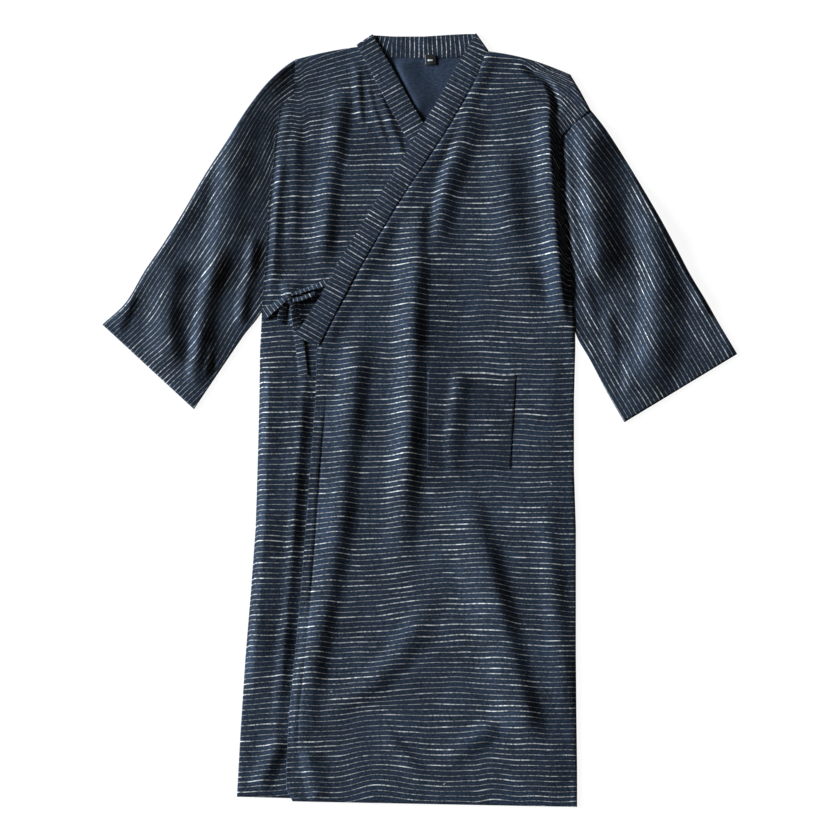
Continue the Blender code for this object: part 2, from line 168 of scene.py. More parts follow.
def curve_through(points: Array, places: Array, wanted: Array) -> Array:
    """Read a smooth curve through rows of values.

    Args:
        points: one row of values for each place.
        places: where along the curve each row lies, in rising order.
        wanted: the places to read.

    Returns:
        One row of values for each wanted place.
    """
    points = np.asarray(points, float)
    gaps = np.diff(places)[:, None]
    steps = np.diff(points, axis=0) / gaps
    tangents = np.vstack([steps[:1], (steps[:-1] + steps[1:]) / 2, steps[-1:]])
    index = np.clip(np.searchsorted(places, wanted, side="right") - 1, 0, len(gaps) - 1)
    gap = gaps[index]
    t = ((wanted - places[index])[:, None]) / gap
    start, end = points[index], points[index + 1]
    return (
        start * (2 * t**3 - 3 * t**2 + 1)
        + tangents[index] * gap * (t**3 - 2 * t**2 + t)
        + end * (3 * t**2 - 2 * t**3)
        + tangents[index + 1] * gap * (t**3 - t**2)
    )


def lengths_along(points: Array) -> Array:
    """Return how far along a line each of its points lies."""
    steps = np.linalg.norm(np.diff(points, axis=0), axis=1)
    return np.concatenate([[0.0], np.cumsum(steps)])


def rumple(x: Array, y: Array, size: float, turn: float) -> Array:
    """Return soft, repeatable unevenness from -1 to 1.

    Args:
        x: places across, in millimetres.
        y: places along, in millimetres.
        size: how far apart the bumps lie.
        turn: a number that picks another pattern.

    Returns:
        The unevenness at each place.
    """
    flat = [noise.noise(Vector((a / size, b / size, turn))) for a, b in zip(x.ravel(), y.ravel())]
    return np.array(flat).reshape(x.shape)


@dataclass
class CreaseField:
    """All the creases of one panel."""

    creases: tuple[Crease, ...]
    crest_step: float = 14.0
    taper: float = 0.22
    slow_swell: Point = (0.16, 31.0)
    quick_swell: Point = (0.10, 13.0)

    def heights(self, x: Array, y: Array) -> Array:
        """Add up the creases at many places.

        Args:
            x: the places' X, in millimetres.
            y: the places' Y, in millimetres.

        Returns:
            The height that the creases give each place.
        """
        total = np.zeros(x.shape)
        for number, crease in enumerate(self.creases):
            total += self.one(crease, number, x, y)
        return total

    def one(self, crease: Crease, number: int, x: Array, y: Array) -> Array:
        """Return the height of one crease at many places.

        Args:
            crease: the crease.
            number: its place in the table, which varies how uneven it is.
            x: the places' X, in millimetres.
            y: the places' Y, in millimetres.

        Returns:
            The height at each place.
        """
        given = np.array(crease.crest, float)
        places = lengths_along(given)
        count = max(int(places[-1] / self.crest_step), 2)
        line = curve_through(given, places, np.linspace(0, places[-1], count + 1))
        marks = lengths_along(line)
        away = np.full(x.shape, np.inf)
        along = np.zeros(x.shape)
        side = np.zeros(x.shape)
        for start, end, mark, gap in zip(line, line[1:], marks, np.diff(marks)):
            span = (end - start) / gap
            reach = np.clip((x - start[0]) * span[0] + (y - start[1]) * span[1], 0, gap)
            off_x = x - start[0] - reach * span[0]
            off_y = y - start[1] - reach * span[1]
            distance = np.hypot(off_x, off_y)
            nearer = distance < away
            away = np.where(nearer, distance, away)
            along = np.where(nearer, mark + reach, along)
            side = np.where(nearer, span[0] * off_y - span[1] * off_x, side)
        width = np.where(side < 0, crease.lit, crease.shade)
        flank = (1 + np.cos(math.pi * np.clip(away / width, 0, 1))) / 2
        ends = smooth(np.minimum(along, marks[-1] - along) / (self.taper * marks[-1]))
        slow = self.slow_swell[0] * np.sin(along / self.slow_swell[1] + number)
        quick = self.quick_swell[0] * np.sin(along / self.quick_swell[1] + 2 * number)
        uneven = 1 + slow + quick
        return crease.height * flank * ends * uneven


class Nodes:
    """A small builder for the nodes of one material."""

    def __init__(self, name: str) -> None:
        """Start a material with its shader.

        Args:
            name: the material's name.
        """
        self.material = bpy.data.materials.new(name)
        self.material.use_nodes = True
        self.tree = self.material.node_tree
        self.shader = self.tree.nodes["Principled BSDF"]

    def add(self, kind: str, values: dict[str | int, object] | None = None,
            **settings: object) -> bpy.types.Node:
        """Add a node.

        Args:
            kind: the node's type.
            values: what its inputs get, a socket to link or a value to keep.
            settings: the node's own settings.

        Returns:
            The node.
        """
        node = self.tree.nodes.new(kind)
        for setting, value in settings.items():
            setattr(node, setting, value)
        for key, value in (values or {}).items():
            if isinstance(value, Socket):
                self.tree.links.new(value, node.inputs[key])
            else:
                node.inputs[key].default_value = value
        return node

    def math(self, operation: str, first: object, second: object = 0.0) -> Socket:
        """Return the result of a sum on one or two values."""
        return self.add("ShaderNodeMath", {0: first, 1: second}, operation=operation).outputs[0]

    def times(self, first: object, second: object) -> Socket:
        """Return one value times another."""
        return self.math("MULTIPLY", first, second)

    def vector(self, x: object, y: object, z: object = 0.0) -> Socket:
        """Return a vector made of three values."""
        return self.add("ShaderNodeCombineXYZ", {0: x, 1: y, 2: z}).outputs[0]

    def grain(self, place: Socket, detail: float = 2.0) -> Socket:
        """Return noise from about 0 to 1 at a place that is already scaled."""
        values = {"Vector": place, "Scale": 1.0, "Detail": detail, "Roughness": 0.55}
        return self.add("ShaderNodeTexNoise", values).outputs[0]

    def spread(self, u: Socket, v: Socket, scales: Point, detail: float = 1.0) -> Socket:
        """Return noise over the cloth, with u and v scaled each on its own."""
        return self.grain(self.vector(self.times(u, scales[0]), self.times(v, scales[1])), detail)

    def ramp(self, value: Socket, low: float, high: float, start: float = 0.0, end: float = 1.0) -> Socket:
        """Return a value eased from start to end as it goes from low to high."""
        values = {0: value, 1: low, 2: high, 3: start, 4: end}
        return self.add("ShaderNodeMapRange", values, interpolation_type="SMOOTHSTEP", clamp=True).outputs[0]

    def blend(self, share: object, first: object, second: object) -> Socket:
        """Return a colour between two colours."""
        values = {0: share, 6: first, 7: second}
        return self.add("ShaderNodeMix", values, data_type="RGBA").outputs[2]

    def bump(self, height: Socket, distance: float, strength: float = 1.0,
             below: Socket | None = None) -> Socket:
        """Return a normal that follows a height.

        Args:
            height: the height.
            distance: how far the whole height stands up, in metres.
            strength: how strongly the normal follows it.
            below: another normal to start from.

        Returns:
            The normal.
        """
        values: dict[str | int, object] = {"Height": height, "Distance": distance, "Strength": strength}
        if below is not None:
            values["Normal"] = below
        return self.add("ShaderNodeBump", values).outputs[0]

    def finish(self, colour: object, normal: Socket | None = None,
               **uniform: object) -> bpy.types.Material:
        """Set the shader's own sockets.

        Args:
            colour: the base colour, linked or kept.
            normal: the bumped normal, if there is one.
            uniform: values that are the same all over, by socket name with _ for spaces.

        Returns:
            The finished material.
        """
        base = self.shader.inputs["Base Color"]
        if isinstance(colour, Socket):
            self.tree.links.new(colour, base)
        else:
            base.default_value = colour
        if normal is not None:
            self.tree.links.new(normal, self.shader.inputs["Normal"])
        for name, value in uniform.items():
            self.shader.inputs[name.replace("_", " ")].default_value = value
        return self.material


@dataclass(frozen=True)
class Cotton:
    """Heathered navy cotton, with or without its slubby pale stripes, and painted shade on the ground beside
    each stripe.

    Sizes are in metres of cloth. u runs along the stripes and v across them, and the
    grains say how fine each unevenness is along them.
    """

    stripes: bool = True
    pitch: float = 0.00824
    # Painted shade: how far from a stripe, in shares of the pitch, the ground darkens towards the dark
    # colour.
    half_width: Point = (0.050, 0.078)
    stripe_painted_shade: Point = (0.09, 0.34)
    stretch_grain: float = 14.0
    patch_grain: float = 55.0
    dash_grain: float = 260.0
    thread_grain: Point = (170.0, 560.0)
    warp_grain: Point = (620.0, 200.0)
    cloud_grain: Point = (17.0, 17.0)
    crumple_grain: Point = (60.0, 38.0)
    weave_turns: Point = (6300.0, 5900.0)
    dark: Colour = (0.0032, 0.0043, 0.0070, 1.0)
    light: Colour = (0.0228, 0.0432, 0.0830, 1.0)
    dull_stripe: Colour = (0.350, 0.370, 0.375, 1.0)
    bright_stripe: Colour = (0.87, 0.87, 0.84, 1.0)
    sheen: float = 0.05
    roughness: float = 0.88

    def build(self, name: str) -> bpy.types.Material:
        """Make the material.

        Args:
            name: the material's name.

        Returns:
            The material.
        """
        nodes = Nodes(name)
        cloth = nodes.add("ShaderNodeTexCoord").outputs["UV"]
        parts = nodes.add("ShaderNodeSeparateXYZ", {0: cloth})
        u, v = parts.outputs[0], parts.outputs[1]
        colour = self.heather(nodes, u, v)
        height = self.threads(nodes, u, v)
        if self.stripes:
            colour, raised = self.striped(nodes, u, v, colour)
            height = nodes.math("ADD", height, raised)
        soft = nodes.bump(nodes.spread(u, v, self.crumple_grain, 3.0), 0.0014, 0.5)
        fine = nodes.bump(height, 0.00016, 0.7, soft)
        return nodes.finish(
            colour, fine, Roughness=self.roughness, Sheen_Weight=self.sheen,
            Sheen_Roughness=0.5, Sheen_Tint=(0.5, 0.68, 1.0, 1.0), Specular_IOR_Level=0.2,
        )

    def heather(self, nodes: Nodes, u: Socket, v: Socket) -> Socket:
        """Mix the navy of the ground cloth.

        Args:
            nodes: the material's builder.
            u: the place along the stripes.
            v: the place across them.

        Returns:
            The ground's colour.
        """
        thread = nodes.times(nodes.spread(u, v, self.thread_grain), 0.54)
        warp = nodes.times(nodes.spread(u, v, self.warp_grain), 0.26)
        cloud = nodes.times(nodes.spread(u, v, self.cloud_grain, 2.0), 0.20)
        mixed = nodes.math("ADD", nodes.math("ADD", thread, warp), cloud)
        return nodes.blend(nodes.ramp(mixed, 0.36, 0.68), self.dark, self.light)

    def threads(self, nodes: Nodes, u: Socket, v: Socket) -> Socket:
        """Raise the threads of the plain weave.

        Args:
            nodes: the material's builder.
            u: the place along the stripes.
            v: the place across them.

        Returns:
            The weave's height.
        """
        across = nodes.math("SINE", nodes.times(u, self.weave_turns[0]))
        along = nodes.math("SINE", nodes.times(v, self.weave_turns[1]))
        return nodes.times(nodes.times(across, along), 0.5)

    def striped(self, nodes: Nodes, u: Socket, v: Socket, ground: Socket) -> tuple[Socket, Socket]:
        """Lay the slubby stripes on the ground cloth.

        Args:
            nodes: the material's builder.
            u: the place along the stripes.
            v: the place across them.
            ground: the colour of the ground cloth.

        Returns:
            The colour with its stripes and the painted shade beside them, and how far they stand up.
        """
        turns = nodes.math("DIVIDE", v, self.pitch)
        number = nodes.math("ROUND", turns)
        off = nodes.math("ABSOLUTE", nodes.math("SUBTRACT", turns, number))
        row = nodes.times(number, 7.31)
        stretch = nodes.grain(nodes.vector(nodes.times(u, self.stretch_grain), row), 1.0)
        patch = nodes.grain(nodes.vector(nodes.times(u, self.patch_grain), row, 3.0), 2.0)
        dash = nodes.grain(nodes.vector(nodes.times(u, self.dash_grain), row, 8.0), 1.0)
        bright = nodes.ramp(stretch, 0.48, 0.66)
        lively = nodes.ramp(patch, 0.30, 0.66, 0.62, 1.0)
        dashed = nodes.ramp(dash, 0.38, 0.58, 0.34, 1.0)
        half = nodes.ramp(nodes.math("ADD", bright, dash), 0.3, 1.5, *self.half_width)
        mask = nodes.ramp(nodes.math("SUBTRACT", off, half), -0.02, 0.040, 1.0, 0.0)
        tone = nodes.blend(nodes.times(bright, lively), self.dull_stripe, self.bright_stripe)
        strength = nodes.times(nodes.times(mask, dashed), lively)
        # Painted shade: the ground darkens beside each stripe, as if shaded by the raised stripe.
        ground = nodes.blend(nodes.ramp(off, *self.stripe_painted_shade, 0.52, 1.0), self.dark, ground)
        return nodes.blend(strength, ground, tone), nodes.times(mask, 0.9)


@dataclass(frozen=True)
class PlainFinish:
    """A finish with little pattern: label satin, its mark, thread or the floor."""

    low: Colour
    high: Colour
    grain: float
    roughness: float
    relief: float = 0.0002
    glow: float = 0.0

    def build(self, name: str) -> bpy.types.Material:
        """Make the material.

        Args:
            name: the material's name.

        Returns:
            The material.
        """
        nodes = Nodes(name)
        place = nodes.add("ShaderNodeTexCoord").outputs["Object"]
        scaled = nodes.add("ShaderNodeVectorMath", {0: place, 3: self.grain}, operation="SCALE").outputs[0]
        grain = nodes.grain(scaled)
        colour = nodes.blend(nodes.ramp(grain, 0.3, 0.7), self.low, self.high)
        return nodes.finish(
            colour, nodes.bump(grain, self.relief), Roughness=self.roughness, Emission_Strength=self.glow,
        )


FINISHES = {
    Weave.STRIPED: Cotton(),
    Weave.REVERSE: Cotton(
        stripes=False, dark=(0.012, 0.019, 0.034, 1.0), light=(0.034, 0.053, 0.092, 1.0), sheen=0.2,
    ),
    Weave.TIE: Cotton(pitch=0.0070),
    # Painted shade: the pocket's cotton is a darker copy of the striped cotton, with a darker ground and
    # duller stripes.
    Weave.POCKET: Cotton(light=(0.0150, 0.0290, 0.0600, 1.0), dull_stripe=(0.24, 0.26, 0.27, 1.0)),
    Weave.LABEL: PlainFinish((0.004, 0.004, 0.005, 1.0), (0.012, 0.012, 0.014, 1.0), 1400.0, 0.55),
    Weave.MARK: PlainFinish((0.42, 0.42, 0.40, 1.0), (0.62, 0.62, 0.60, 1.0), 1800.0, 0.6),
    Weave.THREAD: PlainFinish((0.004, 0.006, 0.010, 1.0), (0.016, 0.022, 0.036, 1.0), 2500.0, 0.7),
    Weave.FLOOR: PlainFinish((0.095, 0.095, 0.095, 1.0), (0.10, 0.10, 0.10, 1.0), 3.0, 0.9, glow=0.93),
}


def material(weave: Weave) -> bpy.types.Material:
    """Return the material of a finish, made the first time it is asked for."""
    found = bpy.data.materials.get(weave.value)
    return found or FINISHES[weave].build(weave.value)


@dataclass
class Grid:
    """Rows of points on the middle of a cloth, with the cloth's own coordinates.

    points are rows x columns x 3 and cloth is rows x columns x 2, all in millimetres.
    From row joined_from on, the last column meets the first one again, and cloth then
    has one column more than points.
    """

    points: Array
    cloth: Array
    joined_from: int | None = None

    def loops(self, flip: bool = False) -> list[tuple[tuple[int, int], ...]]:
        """List the corners of each face.

        Args:
            flip: whether the rows' order makes the faces look down.

        Returns:
            The row and column of each corner, in their order around the face.
        """
        rows, columns = self.points.shape[:2]
        loops = []
        for row in range(rows - 1):
            joined = self.joined_from is not None and row >= self.joined_from
            for column in range(columns if joined else columns - 1):
                loop = ((row, column), (row + 1, column), (row + 1, column + 1), (row, column + 1))
                loops.append(loop[::-1] if flip else loop)
        return loops

    def numbered(self, loops: list[tuple[tuple[int, int], ...]]) -> list[list[int]]:
        """Return the faces by the numbers of their points."""
        columns = self.points.shape[1]
        return [[row * columns + column % columns for row, column in loop] for loop in loops]

    def shell(self, name: str, thickness: float, face: Weave, reverse: Weave,
              flip: bool = False) -> Piece:
        """Make a cloth of this form.

        Args:
            name: the piece's name.
            thickness: the cloth's thickness in millimetres.
            face: the finish of the upper side.
            reverse: the finish of the other side.
            flip: whether the rows' order makes the faces look down.

        Returns:
            The piece.
        """
        loops = self.loops(flip)
        mesh = bpy.data.meshes.new(name)
        mesh.from_pydata((self.points.reshape(-1, 3) * MM).tolist(), [], self.numbered(loops))
        layer = mesh.uv_layers.new(name="cloth")
        flat = [self.cloth[corner] * MM for loop in loops for corner in loop]
        layer.data.foreach_set("uv", np.array(flat).ravel())
        for weave in (face, reverse):
            mesh.materials.append(material(weave))
        piece = shown(mesh)
        wall = piece.modifiers.new("wall", "SOLIDIFY")
        wall.thickness = thickness * MM
        wall.offset = 0.0
        wall.material_offset = 1
        return piece


def shown(mesh: bpy.types.Mesh) -> Piece:
    """Show a mesh in the scene, smooth and under its own name."""
    mesh.shade_smooth()
    piece = bpy.data.objects.new(mesh.name, mesh)
    bpy.context.collection.objects.link(piece)
    return piece


def settle(piece: Piece, slot: str, *nodes: str) -> Piece:
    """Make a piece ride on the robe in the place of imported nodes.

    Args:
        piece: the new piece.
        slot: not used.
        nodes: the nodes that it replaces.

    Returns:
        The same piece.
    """
    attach(piece, BODY)
    if nodes:
        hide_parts(*nodes)
    log.info("%s: %d faces", piece.name, len(piece.data.polygons))
    return piece


def lay(piece: Piece, node: str) -> None:
    """Settle a large sheet in the place of its node.

    Args:
        piece: the sheet.
        node: the node that it replaces.
    """
    settle(piece, "striped_cotton", node)


class Laid:
    """The upper surface of a cloth, to lay smaller things on."""

    def __init__(self, grid: Grid) -> None:
        """Keep the surface.

        Args:
            grid: the cloth's grid.
        """
        points = [Vector(point) for point in grid.points.reshape(-1, 3)]
        self.tree = BVHTree.FromPolygons(points, grid.numbered(grid.loops()))

    def height(self, x: float, y: float) -> float:
        """Return the height of the surface at one place."""
        hit = self.tree.ray_cast(Vector((x, y, ABOVE_ALL)), Vector((0.0, 0.0, -1.0)))[0]
        return hit.z if hit else 0.0


@dataclass
class Panel:
    """A panel that lies flat, in cross sections from its top to its hem.

    edge_reach and right_reach say how far in from its edges the surface bends down to
    their height, side_fall how much lower the cloth lies beside its right edge, and
    drag, wave, tilt, arch, shoulder and the bend line how its stripes are carried.
    """

    name: str
    sections: tuple[Section, ...]
    creases: tuple[Crease, ...]
    level: float
    top_height: float
    hem_height: float
    flat: Point
    rests_on: tuple[str, ...]
    pitch: float = 4.4
    crown: float = 0.0
    edge_reach: float = 8.0
    right_reach: float = 6.0
    side_fall: float = 0.0
    side_run: float = 46.0
    side_top: float = 150.0
    side_ease: float = 60.0
    crown_run: float = 60.0
    fade: float = 16.0
    thickness: float = 0.55
    shoulder: tuple[float, float, float] = (0.0, 0.0, 0.0)
    arch: tuple[float, float, float] = (0.0, 0.0, 0.0)
    shoulder_run: float = 140.0
    tilt: float = 0.0
    bend_line: tuple[Point, ...] = ()
    bend_slope: float = 0.0
    bend_ease: float = 10.0
    bend_hold: float = 0.2
    bend_start: float = 60.0
    drag: float = 0.55
    pulls: tuple[Crease, ...] = ()
    wave: float = 2.5
    relief: float = 0.5
    edge_offsets: tuple[float, ...] = (0.8, 2.0, 4.0, 6.5, 9.5, 12.5, 14.0, 15.5, 17.0, 19.5)
    upper: Weave = Weave.STRIPED
    lower: Weave = Weave.REVERSE

    def grid(self) -> Grid:
        """Return the panel's middle surface."""
        left = np.array([section.left for section in self.sections], float)
        right = np.array([section.right for section in self.sections], float)
        marks = lengths_along((left + right) / 2)
        count = round(marks[-1] / self.pitch)
        offsets = np.array(self.edge_offsets)
        places = np.unique(np.concatenate([
            np.linspace(0, marks[-1], count + 1), offsets, marks[-1] - offsets,
        ]))
        heights = [(section.left_height, section.right_height) for section in self.sections]
        table = np.column_stack([left, right, heights])
        read = np.column_stack([np.interp(places, marks, column) for column in table.T])
        typical = float(np.median(np.linalg.norm(right - left, axis=1)))
        inside = offsets / typical
        start = inside[-1]
        middle = np.linspace(start, 1 - start, round((1 - 2 * start) * typical / self.pitch) + 1)
        shares = np.concatenate([[0.0], inside[:-1], middle, 1 - inside[-2::-1], [1.0]])
        x = read[:, :1] + (read[:, 2:3] - read[:, :1]) * shares
        y = read[:, 1:2] + (read[:, 3:4] - read[:, 1:2]) * shares
        width = np.hypot(read[:, 2] - read[:, 0], read[:, 3] - read[:, 1])[:, None]
        down = np.broadcast_to(places[:, None], x.shape)
        y = y + self.crown * np.sin(math.pi * shares) * np.clip(1 - down / self.crown_run, 0, 1)
        folds, height = self.surface(x, y, shares, width, down, marks[-1], read[:, 4:5], read[:, 5:6])
        cloth = np.dstack([x, y - self.drift(x, y, folds)])
        return Grid(np.dstack([x, y, height]), cloth)

    def surface(self, x: Array, y: Array, shares: Array, width: Array, down: Array,
                length: float, left_height: Array, right_height: Array) -> tuple[Array, Array]:
        """Return the height that the creases give and the height of the whole surface.

        Args:
            x: the points' X.
            y: the points' Y.
            shares: how far across its row each point is, from 0 to 1.
            width: the width of each row.
            down: how far below the top edge each point is.
            length: the panel's length.
            left_height: the height of each row's left edge.
            right_height: the height of each row's right edge.

        Returns:
            The creases' height and the surface's height at each point.
        """
        from_left, from_right = shares * width, (1 - shares) * width
        side = np.minimum(from_left, from_right)
        fade = smooth(np.minimum(side, down) / self.fade)
        folds = CreaseField(self.creases).heights(x, y)
        small = rumple(x, y, *BROAD_RUMPLE) + 0.5 * rumple(x, y * 0.6, *FINE_RUMPLE)
        height = self.level + (folds + self.relief * small) * fade
        beside = 1 - smooth(from_right / self.side_run)
        height = height - self.side_fall * beside * smooth((self.side_top - y) / self.side_ease)
        pulls = (
            (from_left, left_height, self.edge_reach), (from_right, right_height, self.right_reach),
            (down, self.top_height, self.edge_reach), (length - down, self.hem_height, self.edge_reach),
        )
        for distance, rim, reach in pulls:
            pull = rounded(distance, reach)
            height = height * (1 - pull) + rim * pull
        return folds, height

    def drift(self, x: Array, y: Array, folds: Array) -> Array:
        """Return how far the stripes are carried up the panel at each point."""
        middle, left_curve, right_curve = self.arch
        away = x - middle
        drift = self.drag * folds + self.tilt * away + CreaseField(self.pulls).heights(x, y)
        drift = drift - np.where(away < 0, left_curve, right_curve) * away * away
        slope, start, low = self.shoulder
        drift = drift + slope * (x - start) * smooth((y - low) / self.shoulder_run)
        drift = drift + self.wave * (rumple(x, y, *STRIPE_SWAY) + 0.7 * rumple(x, y, *STRIPE_WAVER))
        if self.bend_line:
            line = np.array(sorted(self.bend_line, key=lambda place: place[1]), float)
            past = (x - np.interp(y, line[:, 1], line[:, 0])) * math.copysign(1, self.bend_slope)
            eased = (np.sqrt(past**2 + self.bend_ease**2) + past - self.bend_ease * self.bend_hold) / 2
            above = smooth((y - line[0, 1] + self.bend_start) / self.bend_start)
            drift = drift - abs(self.bend_slope) * eased * above
        return drift

    def build(self) -> tuple[Piece, Grid]:
        """Make the panel in the place of its node.

        Returns:
            The piece and its grid.
        """
        grid = self.grid()
        piece = grid.shell(f"{self.name}_cloth", self.thickness, self.upper, self.lower)
        lay(piece, self.name)
        return piece, grid


LEFT_FRONT = (
    Section((105, 590), (241, 552), 5.0, 2.5),
    Section((81, 538), (258, 524), 6.7, 2.7),
    Section((59, 498), (274, 494), 7.7, 2.7),
    Section((35, 458), (226, 451), SEWN_LEVEL, OVER_LEVEL),
    Section((-1, 405), (224, 403), SEWN_LEVEL, OVER_LEVEL),
    Section((-45, 337), (231, 335), SEWN_LEVEL, OVER_LEVEL),
    Section((-76, 285), (236, 283), SEWN_LEVEL, OVER_LEVEL),
    Section((-105, 235), (241, 233), SEWN_LEVEL, OVER_LEVEL),
    Section((-132, 184), (245, 182), SEWN_LEVEL, OVER_LEVEL),
    Section((-152, 141), (249, 139), 7.6, OVER_LEVEL),
    Section((-164, 112), (249, 110), 6.2),
    Section((-166, 32), (247, 32), OUTER_LEVEL),
    Section((-175, -80), (247, -80), OUTER_LEVEL),
    Section((-182, -173), (250, -173), OUTER_LEVEL),
    Section((-190, -280), (250, -280), OUTER_LEVEL),
    Section((-199, -376), (250, -376), OUTER_LEVEL),
    Section((-209, -480), (251, -480), OUTER_LEVEL),
    Section((-213, -560), (252, -560), 5.4),
    Section((-213, -590), (252, -597), 5.0),
    Section((-203, -610), (252, -619), HEM_LEVEL),
)

RIGHT_FRONT = (
    Section((-199, 576), (-95, 597), 2.9, 2.4),
    Section((-199, 553), (-74, 559), 2.8, 2.8),
    Section((-217, 532), (-61, 538), 2.2, 2.8),
    Section((-223, 508), (-45, 508), ROLL_LEVEL, 2.8),
    Section((-226, 480), (-31, 482), ROLL_LEVEL, 2.8),
    Section((-230, 456), (-17, 458), ROLL_LEVEL, 2.8),
    Section((-234, 408), (2, 408), ROLL_LEVEL),
    Section((-241, 344), (36, 344), ROLL_LEVEL),
    Section((-246, 256), (84, 256), ROLL_LEVEL),
    Section((-252, 176), (127, 176), ROLL_LEVEL),
    Section((-253, 148), (140, 148)),
    Section((-255, 112), (153, 112)),
    Section((-256, 32), (159, 32)),
    Section((-259, -80), (167, -80)),
    Section((-262, -173), (174, -173)),
    Section((-270, -280), (182, -280)),
    Section((-278, -376), (190, -376)),
    Section((-286, -496), (199, -496)),
    Section((-292, -603), (202, -603)),
)

BACK = tuple(
    Section(left, right, CLOTH_LEVEL, CLOTH_LEVEL)
    for left, right in (
        ((-199, 576), (241, 552)), ((-196, 536), (258, 524)), ((-194, 492), (274, 494)),
        ((-229, 458), (226, 451)), ((-234, 420), (223, 408)), ((-238, 368), (226, 360)),
        ((-242, 304), (233, 304)), ((-246, 240), (239, 248)), ((-250, 176), (244, 192)),
        ((-255, 112), (249, 110)), ((-256, 32), (247, 32)), ((-259, -80), (247, -80)),
        ((-262, -173), (250, -173)), ((-270, -280), (250, -280)), ((-278, -376), (250, -376)),
        ((-286, -496), (251, -490)), ((-292, -603), (252, -619)),
    )
)

LEFT_FRONT_CREASES = (
    Crease(6.8, 38, 30, ((7, 408), (-4, 320), (-10, 224), (-14, 128), (-17, 32), (-22, -80), (-28, -176),
                         (-35, -265))),
    Crease(3.0, 34, 80, ((20, 330), (4, 224), (-4, 128), (-8, 32), (-16, -80), (-20, -150))),
    Crease(5.8, 36, 30, ((-92, 216), (-98, 128), (-108, 32), (-118, -64), (-130, -176), (-151, -288),
                         (-172, -400), (-186, -496), (-190, -560))),
    Crease(5.0, 18, 32, ((94, 515), (66, 444), (42, 377), (30, 312), (22, 252))),
    Crease(4.0, 48, 34, ((136, 470), (141, 368), (148, 288), (168, 216), (193, 160))),
    Crease(7.5, 30, 13, ((202, 530), (206, 480), (209, 416), (216, 320), (225, 224), (233, 130))),
    Crease(-4.4, 10, 9, ((160, 566), (184, 553), (206, 539), (217, 515), (222, 478))),
    Crease(3.0, 8, 24, ((150, 655), (114, 590), (90, 536), (68, 496), (44, 456), (8, 403), (-36, 335),
                        (-67, 283), (-96, 233), (-123, 182), (-150, 132), (-180, 84), (-208, 40))),
    Crease(7.0, 60, 32, ((62, -93), (92, -176), (119, -272), (143, -368), (167, -464), (193, -560))),
    Crease(2.8, 28, 26, ((196, -120), (206, -200), (217, -288), (230, -400), (238, -500))),
    Crease(4.0, 28, 32, ((17, -280), (-18, -352), (-66, -408), (-119, -448), (-166, -484))),
    Crease(3.2, 24, 26, ((33, -552), (81, -516), (129, -484))),
    Crease(3.4, 14, 30, ((66, 100), (60, 57), (53, 6), (50, -32), (52, -76), (50, -110))),
    Crease(3.4, 14, 34, ((-184, -520), (-176, -560), (-168, -596), (-160, -616))),
    Crease(2.0, 22, 18, ((-60, -500), (-20, -540), (10, -590))),
    Crease(-1.1, 3, 3, ((-148, 108), (-150, 32), (-159, -80), (-166, -173), (-174, -280), (-183, -376),
                        (-193, -480), (-196, -575))),
)
RIGHT_FRONT_CREASES = (
    Crease(4.6, 26, 24, ((-124, 550), (-134, 448), (-144, 380), (-148, 330), (-154, 272), (-158, 216))),
    Crease(2.8, 20, 18, ((-200, 500), (-200, 432), (-203, 336), (-207, 250))),
    Crease(4.2, 9, 22, ((-212, 520), (-216, 490), (-222, 456), (-226, 400), (-232, 330), (-238, 240),
                        (-243, 180))),
    Crease(-1.2, 9, 8, ((-222, 540), (-205, 537), (-184, 531))),
    Crease(3.0, 12, 14, ((-182, 140), (-184, 80), (-186, 20), (-194, -80), (-201, -173), (-209, -280),
                         (-218, -376), (-228, -480), (-232, -570))),
    Crease(1.7, 12, 9, ((-100, 580), (-98, 528), (-92, 464))),
    Crease(1.8, 14, 9, ((-70, 536), (-50, 488), (-33, 440), (-23, 408))),
    Crease(1.2, 9, 7, ((-84, 544), (-70, 488), (-52, 436))),
    Crease(4.6, 24, 20, ((-220, -500), (-234, -536), (-249, -570), (-256, -600))),
    Crease(5.0, 10, 34, ((-219, 226), (-209, 196), (-202, 168), (-197, 138))),
    Crease(5.8, 8, 74, ((-247, 150), (-250, 32), (-253, -80), (-256, -173), (-264, -280), (-272, -376),
                        (-279, -480))),
    Crease(2.2, 24, 20, ((-196, 60), (-202, -60), (-208, -170))),
)
BACK_CREASES = (
    Crease(3.4, 8, 42, ((-40, 583), (-29, 556), (-8, 514), (6, 486))),
    Crease(1.5, 34, 26, ((-60, 470), (-72, 300), (-64, 120), (-76, -60))),
    Crease(1.4, 28, 36, ((96, 420), (110, 240), (102, 60), (118, -120))),
    Crease(1.5, 40, 30, ((-150, 60), (-160, -120), (-182, -300), (-190, -470))),
    Crease(1.4, 30, 40, ((10, -60), (26, -220), (16, -380), (30, -520))),
    Crease(1.3, 36, 24, ((180, -160), (172, -320), (190, -500))),
)

RIGHT_FRONT_PULLS = (
    Crease(-5.0, 18, 16, ((-198, 590), (-194, 540), (-190, 490), (-184, 420))),
    Crease(3.0, 40, 30, ((-130, 560), (-136, 470), (-140, 380))),
)
LEFT_FRONT_PULLS = (
    Crease(10.0, 100, 20, ((186, 575), (200, 510), (206, 403), (216, 320), (230, 190))),
    Crease(3.0, 22, 26, ((94, 515), (66, 444), (42, 377), (30, 312), (22, 252))),
    Crease(9.0, 130, 190, ((70, -120), (56, -220), (44, -340), (30, -450), (20, -520))),
    Crease(8.0, 60, 110, ((-84, -440), (-76, -500), (-70, -560), (-66, -640))),
    Crease(4.0, 30, 50, ((108, -470), (112, -530), (115, -590), (118, -640))),
)

SHOULDER_BEND_LEFT = (
    (158, 590), (175, 558), (193, 547), (211, 531), (217, 512), (219, 480), (215, 440), (213, 403),
    (219, 335), (224, 283),
)
SHOULDER_BEND_RIGHT = (
    (-156, 600), (-164, 560), (-190, 540), (-212, 518), (-220, 470), (-227, 400), (-234, 330), (-242, 250),
)

